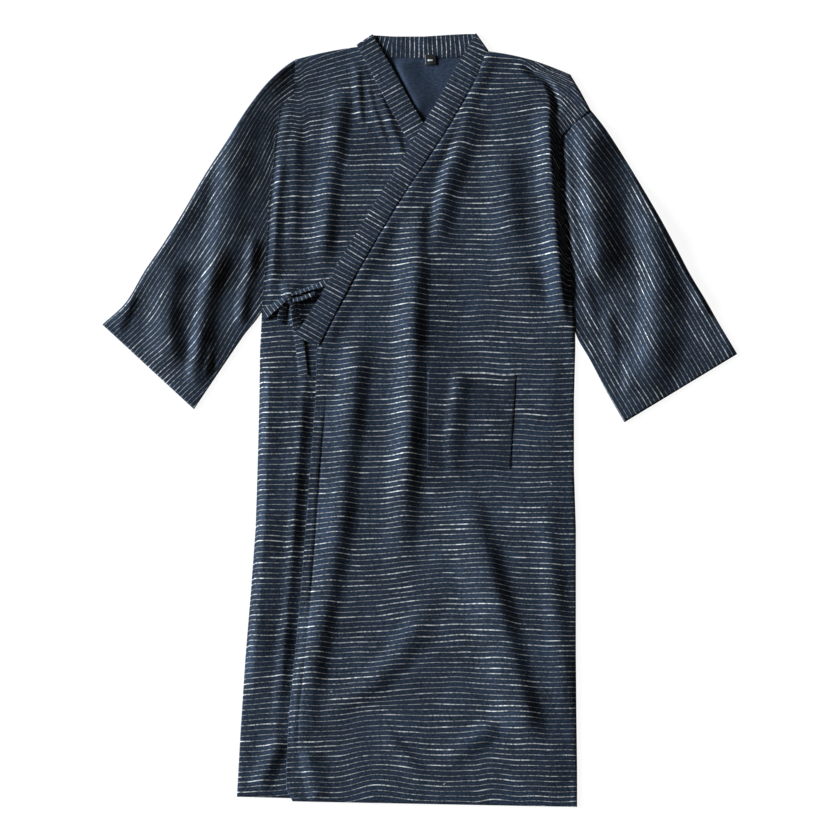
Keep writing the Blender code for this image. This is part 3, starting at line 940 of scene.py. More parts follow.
FRONT_EDGE_SEAM = (
    (-154, 100), (-156, 32), (-165, -80), (-172, -173), (-180, -280), (-189, -376), (-199, -480),
    (-202, -570),
)
LEFT_CAP_SEAM = ((271, 496), (250, 478), (228, 456))
RIGHT_CAP_SEAM = ((-191, 491), (-217, 472))
NECK_SEAM = ((-95, 595), (-87, 599), (-78, 599), (-71, 594), (-66, 587))

# The pocket's seams, in shares across and down it: round three sides, and a corner tack at each end.
POCKET_SEAMS = (
    ((0.012, 0.01), (0.012, 0.988), (0.988, 0.988), (0.988, 0.01)),
    ((0.012, 0.115), (0.10, 0.012)),
    ((0.988, 0.115), (0.90, 0.012)),
)

SLUBS = (
    ((208.8, -101.0), (214.0, -104.5)),
    ((-143.0, -434.0), (-137.5, -435.5)),
    ((37.6, -583.0), (44.0, -580.5)),
)

LEFT_SLEEVE = (
    Cross((220, 454), (271, 498), 0),
    Cross((223, 446), (277, 491), 3),
    Cross((223, 408), (298, 464), 4),
    Cross((226, 360), (329, 416), 6),
    Cross((233, 304), (358, 368), 6),
    Cross((239, 248), (386, 320), 6),
    Cross((244, 192), (412, 272), 3),
    Cross((249.5, 140), (433, 232), 0),
    Cross((273, 96), (457, 192), 0),
    Cross((298, 48), (481, 150), 0),
    Cross((328, -4), (508, 105), 0),
)
RIGHT_SLEEVE = (
    Cross((-189, 492), (-194, 577), 0),
    Cross((-197, 488), (-203, 573), 3),
    Cross((-229, 458), (-242, 540), 4),
    Cross((-234, 420), (-275, 498), 6),
    Cross((-238, 368), (-306, 449), 6),
    Cross((-242, 304), (-343, 392), 6),
    Cross((-243, 240), (-378, 332), 4),
    Cross((-251, 177), (-410, 281), 0),
    Cross((-282, 134), (-438, 240), 0),
    Cross((-322, 75), (-470, 187), 0),
    Cross((-361, 17), (-507, 152), 0),
)
UNDERARM = 7

LEFT_SLEEVE_CREASES = (
    Crease(5.0, 8, 84, ((236, 480), (238, 420), (242, 350), (248, 280), (256, 210), (262, 160))),
    Crease(10.5, 28, 60, ((250, 500), (259, 466), (269, 430), (273, 390), (277, 345), (283, 290), (288, 236),
                          (288, 196))),
    Crease(2.0, 12, 14, ((262, 250), (268, 200), (282, 150))),
    Crease(11.0, 36, 56, ((350, 392), (362, 339), (370, 300), (377, 250), (379, 208), (378, 160), (371, 112),
                          (355, 55), (345, 20))),
    Crease(4.2, 28, 24, ((400, 320), (424, 270), (446, 215), (468, 160))),
    Crease(3.0, 14, 22, ((330, 120), (334, 80), (336, 36))),
    Crease(2.4, 18, 16, ((300, 180), (306, 130), (318, 84))),
)
RIGHT_SLEEVE_CREASES = (
    Crease(9.0, 30, 60, ((-176, 610), (-212, 592), (-237, 569), (-258, 541), (-276, 510), (-287, 478),
                          (-297, 446), (-304, 408), (-309, 371), (-312, 340), (-317, 303), (-328, 255),
                          (-340, 210))),
    Crease(8.6, 17, 30, ((-318, 290), (-327, 250), (-340, 207), (-347, 169), (-356, 111), (-361, 70),
                         (-363, 44))),
    Crease(5.0, 14, 18, ((-262, 306), (-267, 280), (-273, 240), (-280, 207), (-287, 166), (-284, 140))),
    Crease(7.4, 44, 30, ((-384, 268), (-396, 230), (-402, 185), (-404, 150), (-398, 111), (-390, 78))),
    Crease(3.4, 9, 32, ((-300, 448), (-327, 410), (-359, 356), (-388, 310), (-418, 262), (-447, 215),
                        (-464, 186))),
    Crease(2.4, 9, 12, ((-330, 130), (-336, 100), (-343, 66))),
    Crease(2.6, 26, 12, ((-456, 204), (-467, 176), (-484, 138))),
)


@dataclass
class Sleeve:
    """A sleeve pressed flat: a tube with a fold on its far side.

    level is its upper cloth's height and tucked that of its edge under the front. The
    creases grow over rise_run from the shoulder and stop far_fade before the far fold.
    """

    name: str
    crosses: tuple[Cross, ...]
    creases: tuple[Crease, ...]
    inward: bool
    course: float
    flat: Point
    pitch: float = 3.8
    level: float = 3.4
    tucked: float = 2.45
    far_turn: float = 1.7
    near_turn: float = 1.3
    thickness: float = 0.7
    fade: float = 14.0
    drag: float = 0.4
    gather: float = 1.2
    relief: float = 0.45
    rise_run: float = 1.0
    far_fade: float = 3.5
    sway: float = 1.2
    cuff_run: float = 14.0
    begin: Point = (5.0, 7.0)
    slack: Point = (0.45, 0.55)
    body_run: float = 26.0
    cuff_lift: Point = (0.35, 0.65)
    far_run: float = 12.0
    rim_step: float = 0.3
    tuck_start: float = 0.7
    least_tuck: float = 3.0
    gather_run: float = 120.0
    under_count: int = 26
    turn_count: int = 7
    upper_count: int = 62
    tuck_count: int = 5

    def grid(self) -> Grid:
        """Return the middle surface, a ring of points for each section from shoulder to cuff."""
        inner = np.array([cross.inner for cross in self.crosses], float)
        outer = np.array([cross.outer for cross in self.crosses], float)
        tucks = np.array([[cross.tuck] for cross in self.crosses], float)
        marks = lengths_along((inner + outer) / 2)
        count = round(marks[-1] / self.pitch)
        places = np.linspace(0, marks[-1], count + 1)
        read = curve_through(np.column_stack([inner, outer, tucks]), marks, places)
        underarm = float(marks[UNDERARM])
        closing = np.clip((places - marks[UNDERARM - 1]) / (underarm - marks[UNDERARM - 1]), 0, 1)
        rows, cloths = [], []
        for (ix, iy, ox, oy, tuck), close, place in zip(read, closing, places):
            row, cloth = self.ring(np.array([ix, iy]), np.array([ox, oy]), tuck, close, place, marks[-1])
            rows.append(row)
            cloths.append(cloth)
        points = np.array(rows)
        field = CreaseField(self.creases).heights(points[:, :, 0], points[:, :, 1])
        small = rumple(points[:, :, 0], points[:, :, 1], *SLEEVE_RUMPLE)
        upper = self.upper_share(points.shape[1])
        width = np.linalg.norm(read[:, 2:4] - read[:, :2], axis=1)[:, None]
        across = np.clip(upper * width, 0, None)
        fade = smooth(across / self.fade) * smooth((width - across + 1) / self.far_fade) * (upper >= 0)
        fade = fade * smooth(places[:, None] / self.rise_run)
        points[:, :, 2] += (field + self.relief * small) * fade
        cloth = np.array(cloths)
        sway = self.sway * rumple(points[:, :, 0], points[:, :, 1], *SLEEVE_SWAY)
        cloth[:, :-1, 1] -= self.drag * field * fade + sway
        cloth[:, -1, 1] = cloth[:, -2, 1] - 1.0
        joined = int(np.searchsorted(places, underarm))
        return Grid(points, cloth, joined)

    def upper_share(self, columns: int) -> Array:
        """Return how far across the upper cloth each column lies, and -1 off it."""
        share = np.full(columns, -1.0)
        first = self.under_count + self.turn_count
        share[first:first + self.upper_count] = np.linspace(1, 0, self.upper_count)
        return share

    def ring(self, inner: Array, outer: Array, tuck: float, close: float,
             place: float, length: float) -> tuple[Array, Array]:
        """Return one ring of the sleeve.

        Args:
            inner: the section's end on the body side.
            outer: the section's far end.
            tuck: how far the upper cloth reaches under the front.
            close: 0 where the near side is open along the armhole, 1 where it is a fold.
            place: how far along the sleeve the section lies.
            length: the sleeve's length.

        Returns:
            The ring's points and the cloth's coordinates, with one more at the ring's end.
        """
        width = float(np.linalg.norm(outer - inner))
        across = (outer - inner) / width
        low = CLOTH_LEVEL
        cuff = smooth(np.array((length - place) / self.cuff_run))
        begun = smooth(np.array((place - self.begin[0]) / self.begin[1]))
        near_top = self.tucked + (2 * self.near_turn + low - self.tucked) * close
        least, rest = self.slack
        far_top = low + 2 * self.far_turn * (least + rest * cuff) * (least + rest * begun)
        near = self.tuck_start + (self.near_turn - self.tuck_start) * close
        far_radius = (far_top - low) / 2
        far = width - far_radius
        under = np.linspace(near, far, self.under_count)
        turn = np.radians(np.linspace(0, 180, self.turn_count + 2)[1:-1])
        top = np.linspace(far, near, self.upper_count)
        top[1] = far - self.rim_step
        least, rest = self.cuff_lift
        body = smooth(top / self.body_run) * (least + rest * cuff) * begun
        lift = near_top + (self.level - near_top) * body
        blend = smooth((far - top) / self.far_run)
        lift = far_top * (1 - blend) + lift * blend
        ends = np.radians(np.linspace(0, 180, self.tuck_count + 2)[1:-1])
        open_run = -max(tuck, self.least_tuck) * np.arange(1, self.tuck_count + 1) / self.tuck_count
        fold_run = near - self.near_turn * np.sin(ends)
        fold_rise = low + self.near_turn * (1 + np.cos(ends))
        run = np.concatenate([
            under, far + far_radius * np.sin(turn), top, open_run + (fold_run - open_run) * close,
        ])
        rise = np.concatenate([
            np.full(self.under_count, low),
            low + far_radius * (1 - np.cos(turn)),
            lift,
            RIM_LEVEL + (fold_rise - RIM_LEVEL) * close,
        ])
        flat = inner + across * run[:, None]
        row = np.column_stack([flat, rise])
        around = lengths_along(np.column_stack([run, rise]))
        around -= around[self.under_count + self.turn_count // 2]
        gather = 1 + (self.gather - 1) * smooth(np.array(place / self.gather_run))
        course = self.course + around * gather
        course = np.append(course, course[-1] + 1)
        return row, np.column_stack([np.full(len(course), place), course])

    def build(self) -> tuple[Piece, Grid]:
        """Make the sleeve in the place of its node.

        Returns:
            The piece and its grid.
        """
        grid = self.grid()
        name = f"{self.name}_cloth"
        piece = grid.shell(name, self.thickness, Weave.STRIPED, Weave.REVERSE, flip=not self.inward)
        lay(piece, self.name)
        return piece, grid


LONG_LAPEL = (
    Ruling((106, 576), (78, 596), 5.2),
    Ruling((84, 536), (52, 552), 6.8),
    Ruling((62, 496), (30, 512), 7.8),
    Ruling((38, 456), (6, 472), 8.2),
    Ruling((2, 403), (-29, 416), 8.2),
    Ruling((-42, 335), (-71, 347), 8.2),
    Ruling((-73, 283), (-102, 296), 8.2),
    Ruling((-102, 233), (-132, 248), 8.4),
    Ruling((-129, 182), (-159, 197), 8.6),
    Ruling((-158, 125), (-194, 141), 8.4),
    Ruling((-164, 119), (-196, 133), 8.2),
)
BACK_NECK = (
    Ruling((87, 584), (74, 617), 1.3),
    Ruling((57, 580), (52, 616), 1.3),
    Ruling((7, 579), (7, 613), 1.3),
    Ruling((-55, 580), (-41, 613), 1.3),
)
LEFT_CREASE = Ruling((109, 589), (89, 617), 1.3)
RIGHT_CREASE = Ruling((-100, 598), (-74, 615), 1.3)
SHORT_LAPEL = (
    Ruling((-100, 598), (-74, 615), 4.3),
    Ruling((-67, 536), (-36, 550), 4.4),
    Ruling((-44, 492), (-14, 509), 4.2),
    Ruling((-18, 446), (7, 474), 3.8),
    Ruling((36, 344), (66, 363), 3.3),
    Ruling((84, 256), (114, 275), 3.2),
    Ruling((127, 176), (156, 198), 3.2),
    Ruling((155, 121), (188, 139), 3.2),
)


@dataclass
class Band:
    """A stretch of the doubled collar band, from its sections."""

    name: str
    rulings: tuple[Ruling, ...]
    flat: Point
    rests_on: tuple[str, ...]
    pitch: float = 4.0
    columns: int = 12
    thickness: float = 1.1
    crown: float = 0.5
    ripple: float = 0.35
    sway: float = 0.8
    gather: float = 1.14

    def grid(self) -> Grid:
        """Return the band's middle surface."""
        sewn = np.array([(*ruling.sewn, ruling.height) for ruling in self.rulings], float)
        free = np.array([(*ruling.free, ruling.height) for ruling in self.rulings], float)
        marks = lengths_along((sewn + free) / 2)
        count = round(marks[-1] / self.pitch)
        places = np.unique(np.concatenate([np.linspace(0, marks[-1], count + 1), marks]))
        read = np.column_stack([np.interp(places, marks, column) for column in np.hstack([sewn, free]).T])
        shares = np.linspace(0, 1, self.columns + 1)
        points = read[:, None, :3] + (read[:, None, 3:] - read[:, None, :3]) * shares[None, :, None]
        crown = self.crown * np.sin(math.pi * shares) ** 0.8
        uneven = rumple(points[:, :, 0], points[:, :, 1], *BAND_RUMPLE)
        points[:, :, 2] += crown + self.ripple * uneven * np.sin(math.pi * shares)
        width = np.linalg.norm(read[:, 3:] - read[:, :3], axis=1)[:, None] * shares
        middle = (read[:, :2] + read[:, 3:5]) / 2
        steps = np.diff(middle, axis=0)
        moving = np.flatnonzero(np.linalg.norm(steps, axis=1) > 1.0)
        nearest = moving[np.abs(moving[None, :] - np.arange(len(places))[:, None]).argmin(axis=1)]
        headings = steps[nearest] / np.linalg.norm(steps[nearest], axis=1)[:, None]
        slant = ((points[:, :, :2] - middle[:, None, :]) * headings[:, None, :]).sum(axis=2)
        along = (places[:, None] + slant) * self.gather
        return Grid(points, np.dstack([width, along + self.sway * uneven]))

    def build(self, flip: bool) -> tuple[Piece, Grid]:
        """Make the band in the place of its node.

        Args:
            flip: whether the rows' order makes the faces look down.

        Returns:
            The piece and its grid.
        """
        grid = self.grid()
        piece = grid.shell(f"{self.name}_band", self.thickness, Weave.STRIPED, Weave.STRIPED, flip=flip)
        soften(piece, 0.7)
        settle(piece, "striped_cotton", self.name)
        return piece, grid


def soften(piece: Piece, width: float) -> None:
    """Round the sharp edges of a thick piece.

    Args:
        piece: the piece.
        width: how much of each edge is rounded, in millimetres.
    """
    bevel = piece.modifiers.new("rounded_edges", "BEVEL")
    bevel.width = width * MM
    bevel.segments = 3
    bevel.limit_method = "ANGLE"
    bevel.angle_limit = math.radians(55)


def turned(crease: Ruling, away: float, radius: float = 1.5, steps: int = 8) -> list[Ruling]:
    """Return the sections where the band turns over at a neck corner, from low to high.

    Args:
        crease: the section at the corner.
        away: 1 or -1, the side that the fold bulges to.
        radius: the fold's radius in millimetres.
        steps: how many steps the turn takes.

    Returns:
        The sections of the turn.
    """
    across = Vector(crease.free) - Vector(crease.sewn)
    out = Vector((-across.y, across.x)).normalized() * away
    sections = []
    for step in range(steps + 1):
        angle = math.pi * step / steps
        push = out * radius * math.sin(angle)
        height = crease.height + radius * (1 - math.cos(angle))
        sewn = Vector(crease.sewn) + push
        free = Vector(crease.free) + push
        sections.append(Ruling((sewn.x, sewn.y), (free.x, free.y), height))
    return sections


@dataclass
class Pocket:
    """The patch pocket, laid on the left front."""

    corners: tuple[Point, Point, Point, Point] = ((13, 78), (155, 72), (146, -79), (12, -76))
    steps: int = 40
    lift: float = 0.36
    belly: float = 0.8
    course: float = 1.0
    thickness: float = 0.5
    gape: float = 0.8
    gape_place: Point = (0.62, 0.25)
    gape_depth: float = 0.12
    flat: Point = (0.143, 0.155)

    def place(self, across: float, down: float) -> Point:
        """Return the place at a share across and down the pocket."""
        top_left, top_right, bottom_right, bottom_left = (Vector(corner) for corner in self.corners)
        spot = top_left.lerp(top_right, across).lerp(bottom_left.lerp(bottom_right, across), down)
        return spot.x, spot.y

    def build(self, carrier: Laid, drift: Callable[[Array, Array], Array]) -> tuple[Piece, Grid]:
        """Make the pocket.

        Args:
            carrier: the front's surface.
            drift: a function of x and y that gives the front's cloth coordinate there.

        Returns:
            The piece and its grid.
        """
        shares = np.linspace(0, 1, self.steps + 1)
        spots = np.array([[self.place(across, down) for across in shares] for down in shares])
        ground = np.array([[carrier.height(x, y) for x, y in row] for row in spots])
        inside = np.sin(math.pi * shares)[None, :] ** 0.5 * np.sqrt(np.clip(1 - shares, 0, 1))[:, None]
        middle, spread = self.gape_place
        open_top = np.clip(1 - shares / self.gape_depth, 0, 1)[:, None]
        gape = self.gape * np.exp(-(((shares[None, :] - middle) / spread) ** 2)) * open_top
        height = ground + self.lift + self.belly * inside + gape
        points = np.dstack([spots, height])
        cloth = np.dstack([spots[:, :, 0], drift(spots[:, :, 0], spots[:, :, 1]) + self.course])
        grid = Grid(points, cloth)
        piece = grid.shell("pocket_cloth", self.thickness, Weave.POCKET, Weave.REVERSE)
        settle(piece, "striped_cotton", "pocket")
        return piece, grid


@dataclass
class Stitches:
    """Rows of hand-sized stitches, joined in one mesh."""

    name: str
    thread: float = 0.42
    length: float = 2.4
    gap: float = 1.0
    weave: Weave = Weave.THREAD
    end_rise: float = -0.25
    middle_rise: float = 0.12
    end_width: float = 0.5

    def __post_init__(self) -> None:
        """Start with no stitches."""
        self.points: list[Vector] = []
        self.faces: list[tuple[int, ...]] = []

    def row(self, line: Sequence[Point], carrier: Laid, lift: float = 0.45) -> None:
        """Sew one row.

        Args:
            line: the corners of the row's path.
            carrier: the surface that it is sewn on.
            lift: how far the thread's middle lies over the carrier's middle surface.
        """
        for start, end in zip(line, line[1:]):
            span = Vector(end) - Vector(start)
            count = max(int(span.length / (self.length + self.gap)), 1)
            for step in range(count):
                first = Vector(start) + span * (step / count)
                last = first + span.normalized() * self.length
                self.stitch(first, last, carrier, lift)

    def stitch(self, first: Vector, last: Vector, carrier: Laid, lift: float) -> None:
        """Add one stitch: a four-sided thread whose ends dive into the cloth.

        Args:
            first: where it starts.
            last: where it ends.
            carrier: the surface that it is sewn on.
            lift: how far the thread's middle lies over the carrier's middle surface.
        """
        middle = first.lerp(last, 0.5)
        side = Vector((-(last - first).y, (last - first).x)).normalized() * self.thread / 2
        base = len(self.points)
        ends = (self.end_rise, self.end_width)
        for place, (rise, half) in ((first, ends), (middle, (self.middle_rise, 1.0)), (last, ends)):
            height = carrier.height(place.x, place.y) + lift + rise * self.thread * 2
            for turn_x, turn_z in ((-1, 0), (0, 1), (1, 0), (0, -1)):
                shift = side * turn_x * half
                rim = height + turn_z * self.thread / 2 * half
                self.points.append(Vector((place.x + shift.x, place.y + shift.y, rim)))
        for ring in range(2):
            for corner in range(4):
                after = (corner + 1) % 4
                low, high = base + ring * 4, base + ring * 4 + 4
                self.faces.append((low + corner, low + after, high + after, high + corner))
        self.faces.append((base, base + 3, base + 2, base + 1))
        self.faces.append((base + 8, base + 9, base + 10, base + 11))

    def build(self) -> Piece:
        """Make the piece."""
        mesh = bpy.data.meshes.new(self.name)
        mesh.from_pydata([point * MM for point in self.points], [], self.faces)
        mesh.materials.append(material(self.weave))
        return settle(shown(mesh), "striped_cotton")


@dataclass
class Ribbon:
    """A flat stretch of the tie that follows its listed stops."""

    name: str
    stops: tuple[Stop, ...]
    flat: Point
    course: float
    pitch: float = 1.2
    columns: int = 8
    thickness: float = 1.5
    belly: float = 0.35
    sway: float = 0.4

    def build(self) -> None:
        """Make the ribbon in the place of its node."""
        stops = np.array(self.stops, float)
        marks = lengths_along(stops[:, :3])
        places = np.linspace(0, marks[-1], round(marks[-1] / self.pitch) + 1)
        read = curve_through(stops, marks, places)
        along = np.gradient(read[:, :3], axis=0)
        along /= np.linalg.norm(along, axis=1)[:, None]
        level = np.cross([0.0, 0.0, 1.0], along)
        level /= np.linalg.norm(level, axis=1)[:, None]
        upward = np.cross(along, level)
        tilt = np.radians(read[:, 4:5])
        side = level * np.cos(tilt) + upward * np.sin(tilt)
        shares = np.linspace(0.5, -0.5, self.columns + 1)
        width = read[:, 3][:, None] * shares
        points = read[:, None, :3] + side[:, None, :] * width[:, :, None]
        normal = np.cross(along, side)
        belly = self.belly * np.cos(math.pi * shares)
        points += normal[:, None, :] * belly[None, :, None]
        course = np.broadcast_to(places[:, None] + self.course, width.shape)
        grid = Grid(points, np.dstack([width, course + self.sway * np.sin(width / 3)]))
        piece = grid.shell(f"{self.name}_ribbon", self.thickness, Weave.TIE, Weave.TIE, flip=True)
        soften(piece, 0.45)
        settle(piece, "tie_cotton", self.name)


@dataclass
class Knot:
    """The knot of the bow: a rounded wrap with grooves where the ties go in.

    Each groove has its depth, lean, shift and width.
    """

    place: tuple[float, float, float] = (-208, 193, 8.2)
    size: tuple[float, float, float] = (7.0, 9.0, 4.2)
    turn: float = 28.0
    rings: int = 28
    sectors: int = 36
    grooves: tuple[tuple[float, float, float, float], ...] = (
        (0.16, -0.35, -0.25, 0.10),
        (0.12, 0.5, 0.4, 0.12),
    )
    lump: float = 0.05
    lump_grain: float = 2.3
    course_stretch: float = 1.6

    def swell(self, ray: Vector) -> float:
        """Return how far out the knot reaches towards a direction, with its two grooves."""
        swell = 1.0
        for depth, lean, shift, width in self.grooves:
            swell -= depth * math.exp(-((ray.y + lean * ray.x + shift) / width) ** 2)
        return swell + self.lump * noise.noise(ray * self.lump_grain)

    def build(self) -> None:
        """Make the knot in the place of its node."""
        points, cloth = [], []
        for ring in range(self.rings + 1):
            fall = math.pi * (ring + 0.5) / (self.rings + 1)
            for sector in range(self.sectors):
                angle = 2 * math.pi * sector / self.sectors
                round_x, round_z = math.sin(fall) * math.cos(angle), math.sin(fall) * math.sin(angle)
                ray = Vector((round_x, math.cos(fall), round_z))
                swell = self.swell(ray)
                points.append(Vector(a * b * swell for a, b in zip(ray, self.size)))
                cloth.append((ray.x * self.size[0], ray.y * self.size[1] * self.course_stretch))
        turn = math.radians(self.turn)
        placed = [
            (
                self.place[0] + point.x * math.cos(turn) - point.y * math.sin(turn),
                self.place[1] + point.x * math.sin(turn) + point.y * math.cos(turn),
                self.place[2] + point.z,
            )
            for point in points
        ]
        faces = []
        for ring in range(self.rings):
            for sector in range(self.sectors):
                after = (sector + 1) % self.sectors
                low = ring * self.sectors
                high = low + self.sectors
                faces.append((low + sector, high + sector, high + after, low + after))
        faces.append(tuple(range(self.sectors)))
        last = self.rings * self.sectors
        faces.append(tuple(last + sector for sector in reversed(range(self.sectors))))
        mesh = bpy.data.meshes.new("knot_cloth")
        mesh.from_pydata([Vector(point) * MM for point in placed], [], faces)
        layer = mesh.uv_layers.new(name="cloth")
        uv = [value * MM for loop in mesh.loops for value in cloth[loop.vertex_index]]
        layer.data.foreach_set("uv", uv)
        mesh.materials.append(material(Weave.TIE))
        settle(shown(mesh), "tie_cotton", "tie_knot")


@dataclass
class Label:
    """The plain woven label under the back neck seam, with one pale bar."""

    x: float = 17.6
    top: float = 584.0
    width: float = 17.6
    length: float = 16.5
    bar: Point = (8.5, 2.6)
    bar_place: float = 0.56
    bar_lift: float = 0.38
    steps: int = 12
    skew: float = 0.5
    top_height: float = 3.4
    fall: float = 1.1
    fall_speed: float = 1.6
    curl: float = 0.35
    curl_turns: float = 7.0

    def build(self) -> None:
        """Make the label and its bar."""
        rows = np.linspace(0, 1, self.steps + 1)
        columns = np.linspace(-0.5, 0.5, self.steps + 1)
        shape = (self.steps + 1, self.steps + 1)
        x = self.x + np.broadcast_to(columns * self.width, shape) + self.skew * rows[:, None]
        y = self.top - np.broadcast_to(rows[:, None] * self.length, shape)
        curl = self.curl * np.cos(columns * self.curl_turns)[None, :] * rows[:, None]
        rise = self.top_height - self.fall * smooth(rows[:, None] * self.fall_speed) + curl
        grid = Grid(np.dstack([x, y, np.broadcast_to(rise, x.shape)]), np.dstack([x, y]))
        cloth = grid.shell("label_cloth", 0.5, Weave.LABEL, Weave.LABEL)
        settle(cloth, "label_weave", "neck_label")
        surface = Laid(grid)
        across = np.linspace(-0.5, 0.5, 9) * self.bar[0] + self.x
        down = self.top - self.length * self.bar_place + np.linspace(0.5, -0.5, 4) * self.bar[1]
        bar_x, bar_y = np.meshgrid(across, down)
        lift = np.array([[surface.height(a, b) for a, b in zip(*pair)] for pair in zip(bar_x, bar_y)])
        mark = Grid(np.dstack([bar_x, bar_y, lift + self.bar_lift]), np.dstack([bar_x, bar_y]))
        settle(mark.shell("label_bar", 0.12, Weave.MARK, Weave.MARK), "label_weave")


RIBBONS = (
    Ribbon("tie_side", (
        Stop(-251, 168, 4.8, 18.0, 0), Stop(-243, 173, 6.6, 16.0, -8), Stop(-231, 181, 8.6, 12.5, -12),
        Stop(-220, 189, 10.2, 10.0, -10), Stop(-212, 195, 10.8, 8.0, 0),
    ), (0.0145, 0.052), 1.0),
    Ribbon("tie_front", (
        Stop(-208, 200, 8.4, 6.0, -30), Stop(-196, 203, 8.0, 7.5, -40), Stop(-180, 208, 7.2, 8.5, -40),
        Stop(-164, 213.5, 6.2, 9.5, -24), Stop(-146, 220, 5.0, 11.0, -6),
    ), (0.0125, 0.064), 3.0),
    Ribbon("tie_loop", (
        Stop(-203, 190, 8.0, 6.5, -10), Stop(-192, 191.5, 7.4, 7.0, -14), Stop(-178, 195, 7.2, 7.5, -12),
        Stop(-168, 199, 8.0, 7.5, -6), Stop(-165, 201, 9.4, 7.5, -4), Stop(-168, 201, 10.8, 7.0, 8),
        Stop(-179, 197, 11.6, 6.5, 14), Stop(-191, 193, 11.2, 6.5, 14), Stop(-202, 191.5, 10.2, 6.0, 6),
    ), (0.0100, 0.084), 5.0),
    Ribbon("tie_long_end", (
        Stop(-203, 188, 11.0, 8.0, -10), Stop(-200, 178, 11.0, 12.0, -14), Stop(-197, 160, 9.2, 14.0, -12),
        Stop(-194, 140, 6.0, 14.5, 0), Stop(-191, 118, 4.9, 14.5, 4), Stop(-188, 94, 4.7, 14.5, 5),
        Stop(-185.5, 70, 4.7, 14.5, 5),
    ), (0.0145, 0.130), 2.0),
    Ribbon("tie_short_end", (
        Stop(-212, 187, 8.6, 6.0, -8), Stop(-217, 178, 7.8, 10.0, -16), Stop(-220, 168, 6.6, 12.0, -14),
        Stop(-222, 158, 5.8, 11.0, -8), Stop(-223, 154, 5.6, 9.0, -6),
    ), (0.0145, 0.038), 6.0),
)


class Bow:
    """The side bow: two ties, a loop, a long end, a short end and the knot."""

    def build(self) -> None:
        """Make every part of the bow."""
        for ribbon in RIBBONS:
            ribbon.build()
        Knot().build()


@dataclass
class Studio:
    """The floor, the light and the camera that looks straight down."""

    view_width: float = 1.3424
    distance: float = 6.0
    floor_size: float = 14.0
    key: float = 12.5
    fill: float = 0.068
    elevation: float = 14.0
    bearing: float = 169.0
    softness: float = 26.0
    sun_colour: tuple[float, float, float] = (0.87, 0.955, 1.03)
    sky_colour: Colour = (1.0, 0.84, 0.70, 1.0)
    view_y: float = 0.0004
    sensor: float = 36.0
    farthest: float = 40.0

    def build(self) -> None:
        """Make the stage."""
        self.floor()
        self.lights()
        self.camera()

    def floor(self) -> None:
        """Lay the pale floor."""
        half = self.floor_size / 2
        corners = [(-half, -half, 0), (half, -half, 0), (half, half, 0), (-half, half, 0)]
        mesh = bpy.data.meshes.new("floor")
        mesh.from_pydata(corners, [], [(0, 1, 2, 3)])
        mesh.materials.append(material(Weave.FLOOR))
        shown(mesh)

    def lights(self) -> None:
        """Hang a soft raking light on the left, with a little fill from all round."""
        sun = bpy.data.lights.new("key_light", "SUN")
        sun.energy = self.key
        sun.angle = math.radians(self.softness)
        sun.color = self.sun_colour
        lamp = bpy.data.objects.new("key_light", sun)
        rise, turn = math.radians(self.elevation), math.radians(self.bearing)
        out = math.cos(rise)
        towards = Vector((out * math.cos(turn), out * math.sin(turn), math.sin(rise)))
        lamp.rotation_euler = towards.to_track_quat("Z", "Y").to_euler()
        bpy.context.collection.objects.link(lamp)
        world = bpy.data.worlds.new("studio")
        world.use_nodes = True
        background = world.node_tree.nodes["Background"]
        background.inputs["Color"].default_value = self.sky_colour
        background.inputs["Strength"].default_value = self.fill
        scene = bpy.context.scene
        scene.world = world
        scene.view_settings.view_transform = "Standard"

    def camera(self) -> None:
        """Set the camera over the middle of the robe."""
        data = bpy.data.cameras.new("camera")
        data.sensor_width = self.sensor
        data.lens = data.sensor_width * self.distance / self.view_width
        data.clip_end = self.farthest
        camera = bpy.data.objects.new("camera", data)
        camera.location = (0.0, self.view_y, self.distance)
        bpy.context.collection.objects.link(camera)
        bpy.context.scene.camera = camera


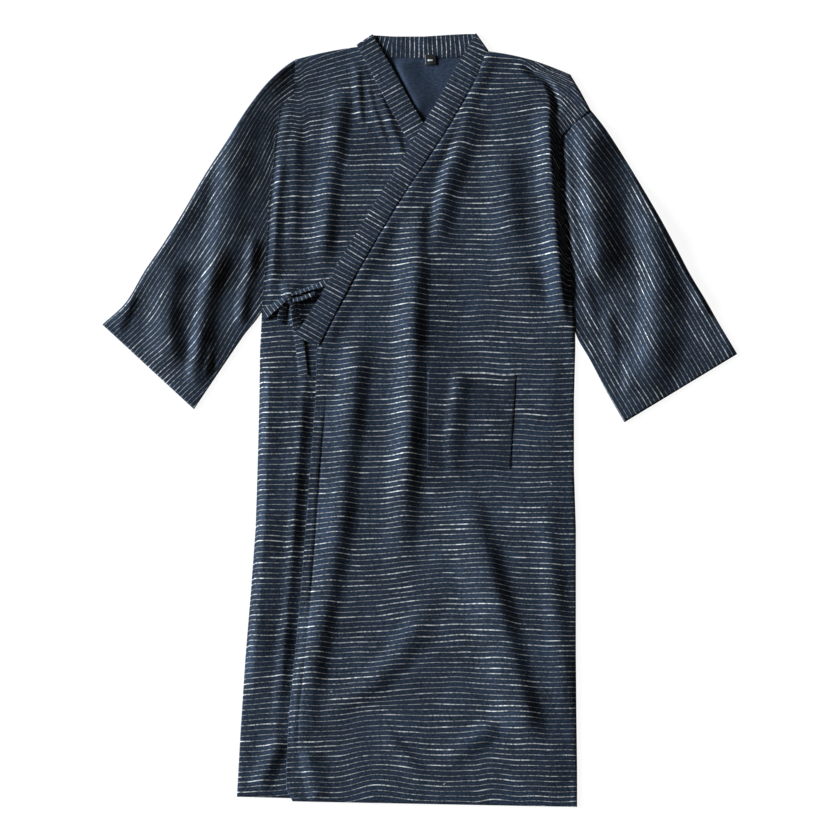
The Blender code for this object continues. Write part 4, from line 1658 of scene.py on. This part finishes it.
class Robe:
    """The whole robe."""

    def build(self) -> None:
        """Make every piece."""
        self.panels()
        self.sleeves()
        self.collar()
        Label().build()
        Bow().build()

    def panels(self) -> None:
        """Make the back, both fronts and the pocket."""
        Panel(
            "back", BACK, BACK_CREASES, CLOTH_LEVEL, CLOTH_LEVEL, CLOTH_LEVEL, (0.566, 1.21), ("floor",),
            pitch=5.0, crown=26.0, edge_reach=6.0, relief=0.12, drag=0.0,
            upper=Weave.REVERSE, lower=Weave.STRIPED,
        ).build()
        under = Panel(
            "front_right", RIGHT_FRONT, RIGHT_FRONT_CREASES, UNDER_LEVEL, 2.4, RIM_LEVEL, (0.494, 1.20),
            ("back_cloth",), pitch=4.6, crown=2.0, tilt=0.05, arch=(-250.0, 0.0, 0.00012),
            bend_line=SHOULDER_BEND_RIGHT, bend_slope=-0.38, bend_ease=16.0, shoulder=(0.2, -95.0, 430.0),
            pulls=RIGHT_FRONT_PULLS,
        ).build()[1]
        left = Panel(
            "front_left", LEFT_FRONT, LEFT_FRONT_CREASES, OUTER_LEVEL, 2.8, HEM_LEVEL, (0.466, 1.21),
            ("front_right_cloth", "back_cloth"), crown=6.0, arch=(0.0, 0.0001, 0.0),
            bend_line=SHOULDER_BEND_LEFT, bend_slope=1.15, bend_ease=4.0, side_fall=2.2,
            pulls=LEFT_FRONT_PULLS, fade=7.0,
        )
        grid = left.build()[1]
        front = Laid(grid)
        field = CreaseField(LEFT_FRONT_CREASES)

        def course(x: Array, y: Array) -> Array:
            """Return the front's own cloth coordinate at places on it."""
            return y - left.drift(x, y, field.heights(x, y))

        patch = Pocket()
        pocket_grid = patch.build(front, course)[1]
        sewing = Stitches("front_stitching")
        sewing.row(FRONT_EDGE_SEAM, front)
        sewing.row(LEFT_CAP_SEAM, front)
        sewing.row(RIGHT_CAP_SEAM, Laid(under), 0.3)
        sewing.build()
        slubs = Stitches("slubs", 1.3, 4.6, 0.8, Weave.MARK)
        for slub in SLUBS:
            slubs.row(slub, front)
        slubs.build()
        seams = Stitches("pocket_stitching", thread=0.38)
        on_pocket = Laid(pocket_grid)
        for seam in POCKET_SEAMS:
            seams.row([patch.place(*spot) for spot in seam], on_pocket)
        seams.build()

    def sleeves(self) -> None:
        """Make both sleeves."""
        Sleeve("sleeve_left", LEFT_SLEEVE, LEFT_SLEEVE_CREASES, False, 0.0, (0.42, 0.47), gather=1.14).build()
        Sleeve(
            "sleeve_right", RIGHT_SLEEVE, RIGHT_SLEEVE_CREASES, True, -573.0, (0.42, 0.52),
            gather=1.28, tucked=1.9, rise_run=36.0, far_fade=1.5,
        ).build()

    def collar(self) -> None:
        """Make the two stretches of the collar band."""
        rulings = list(reversed(LONG_LAPEL)) + turned(LEFT_CREASE, -1)[::-1] + list(BACK_NECK)
        rulings += turned(RIGHT_CREASE, 1)
        below = ("front_left_cloth", "back_cloth")
        Band("collar_left", tuple(rulings), (0.036, 0.78), below).build(flip=True)
        lapel = Band("collar_right", SHORT_LAPEL, (0.036, 0.53), ("front_right_cloth",)).build(flip=False)[1]
        seam = Stitches("collar_seam_stitching", 0.38, 1.8, 0.5)
        seam.row(NECK_SEAM, Laid(lapel), 0.7)
        seam.build()


def main() -> None:
    """Build the studio and the robe."""
    logging.basicConfig(level=logging.INFO, format="%(name)s: %(message)s")
    Studio().build()
    Robe().build()


if __name__ == "__main__":
    main()
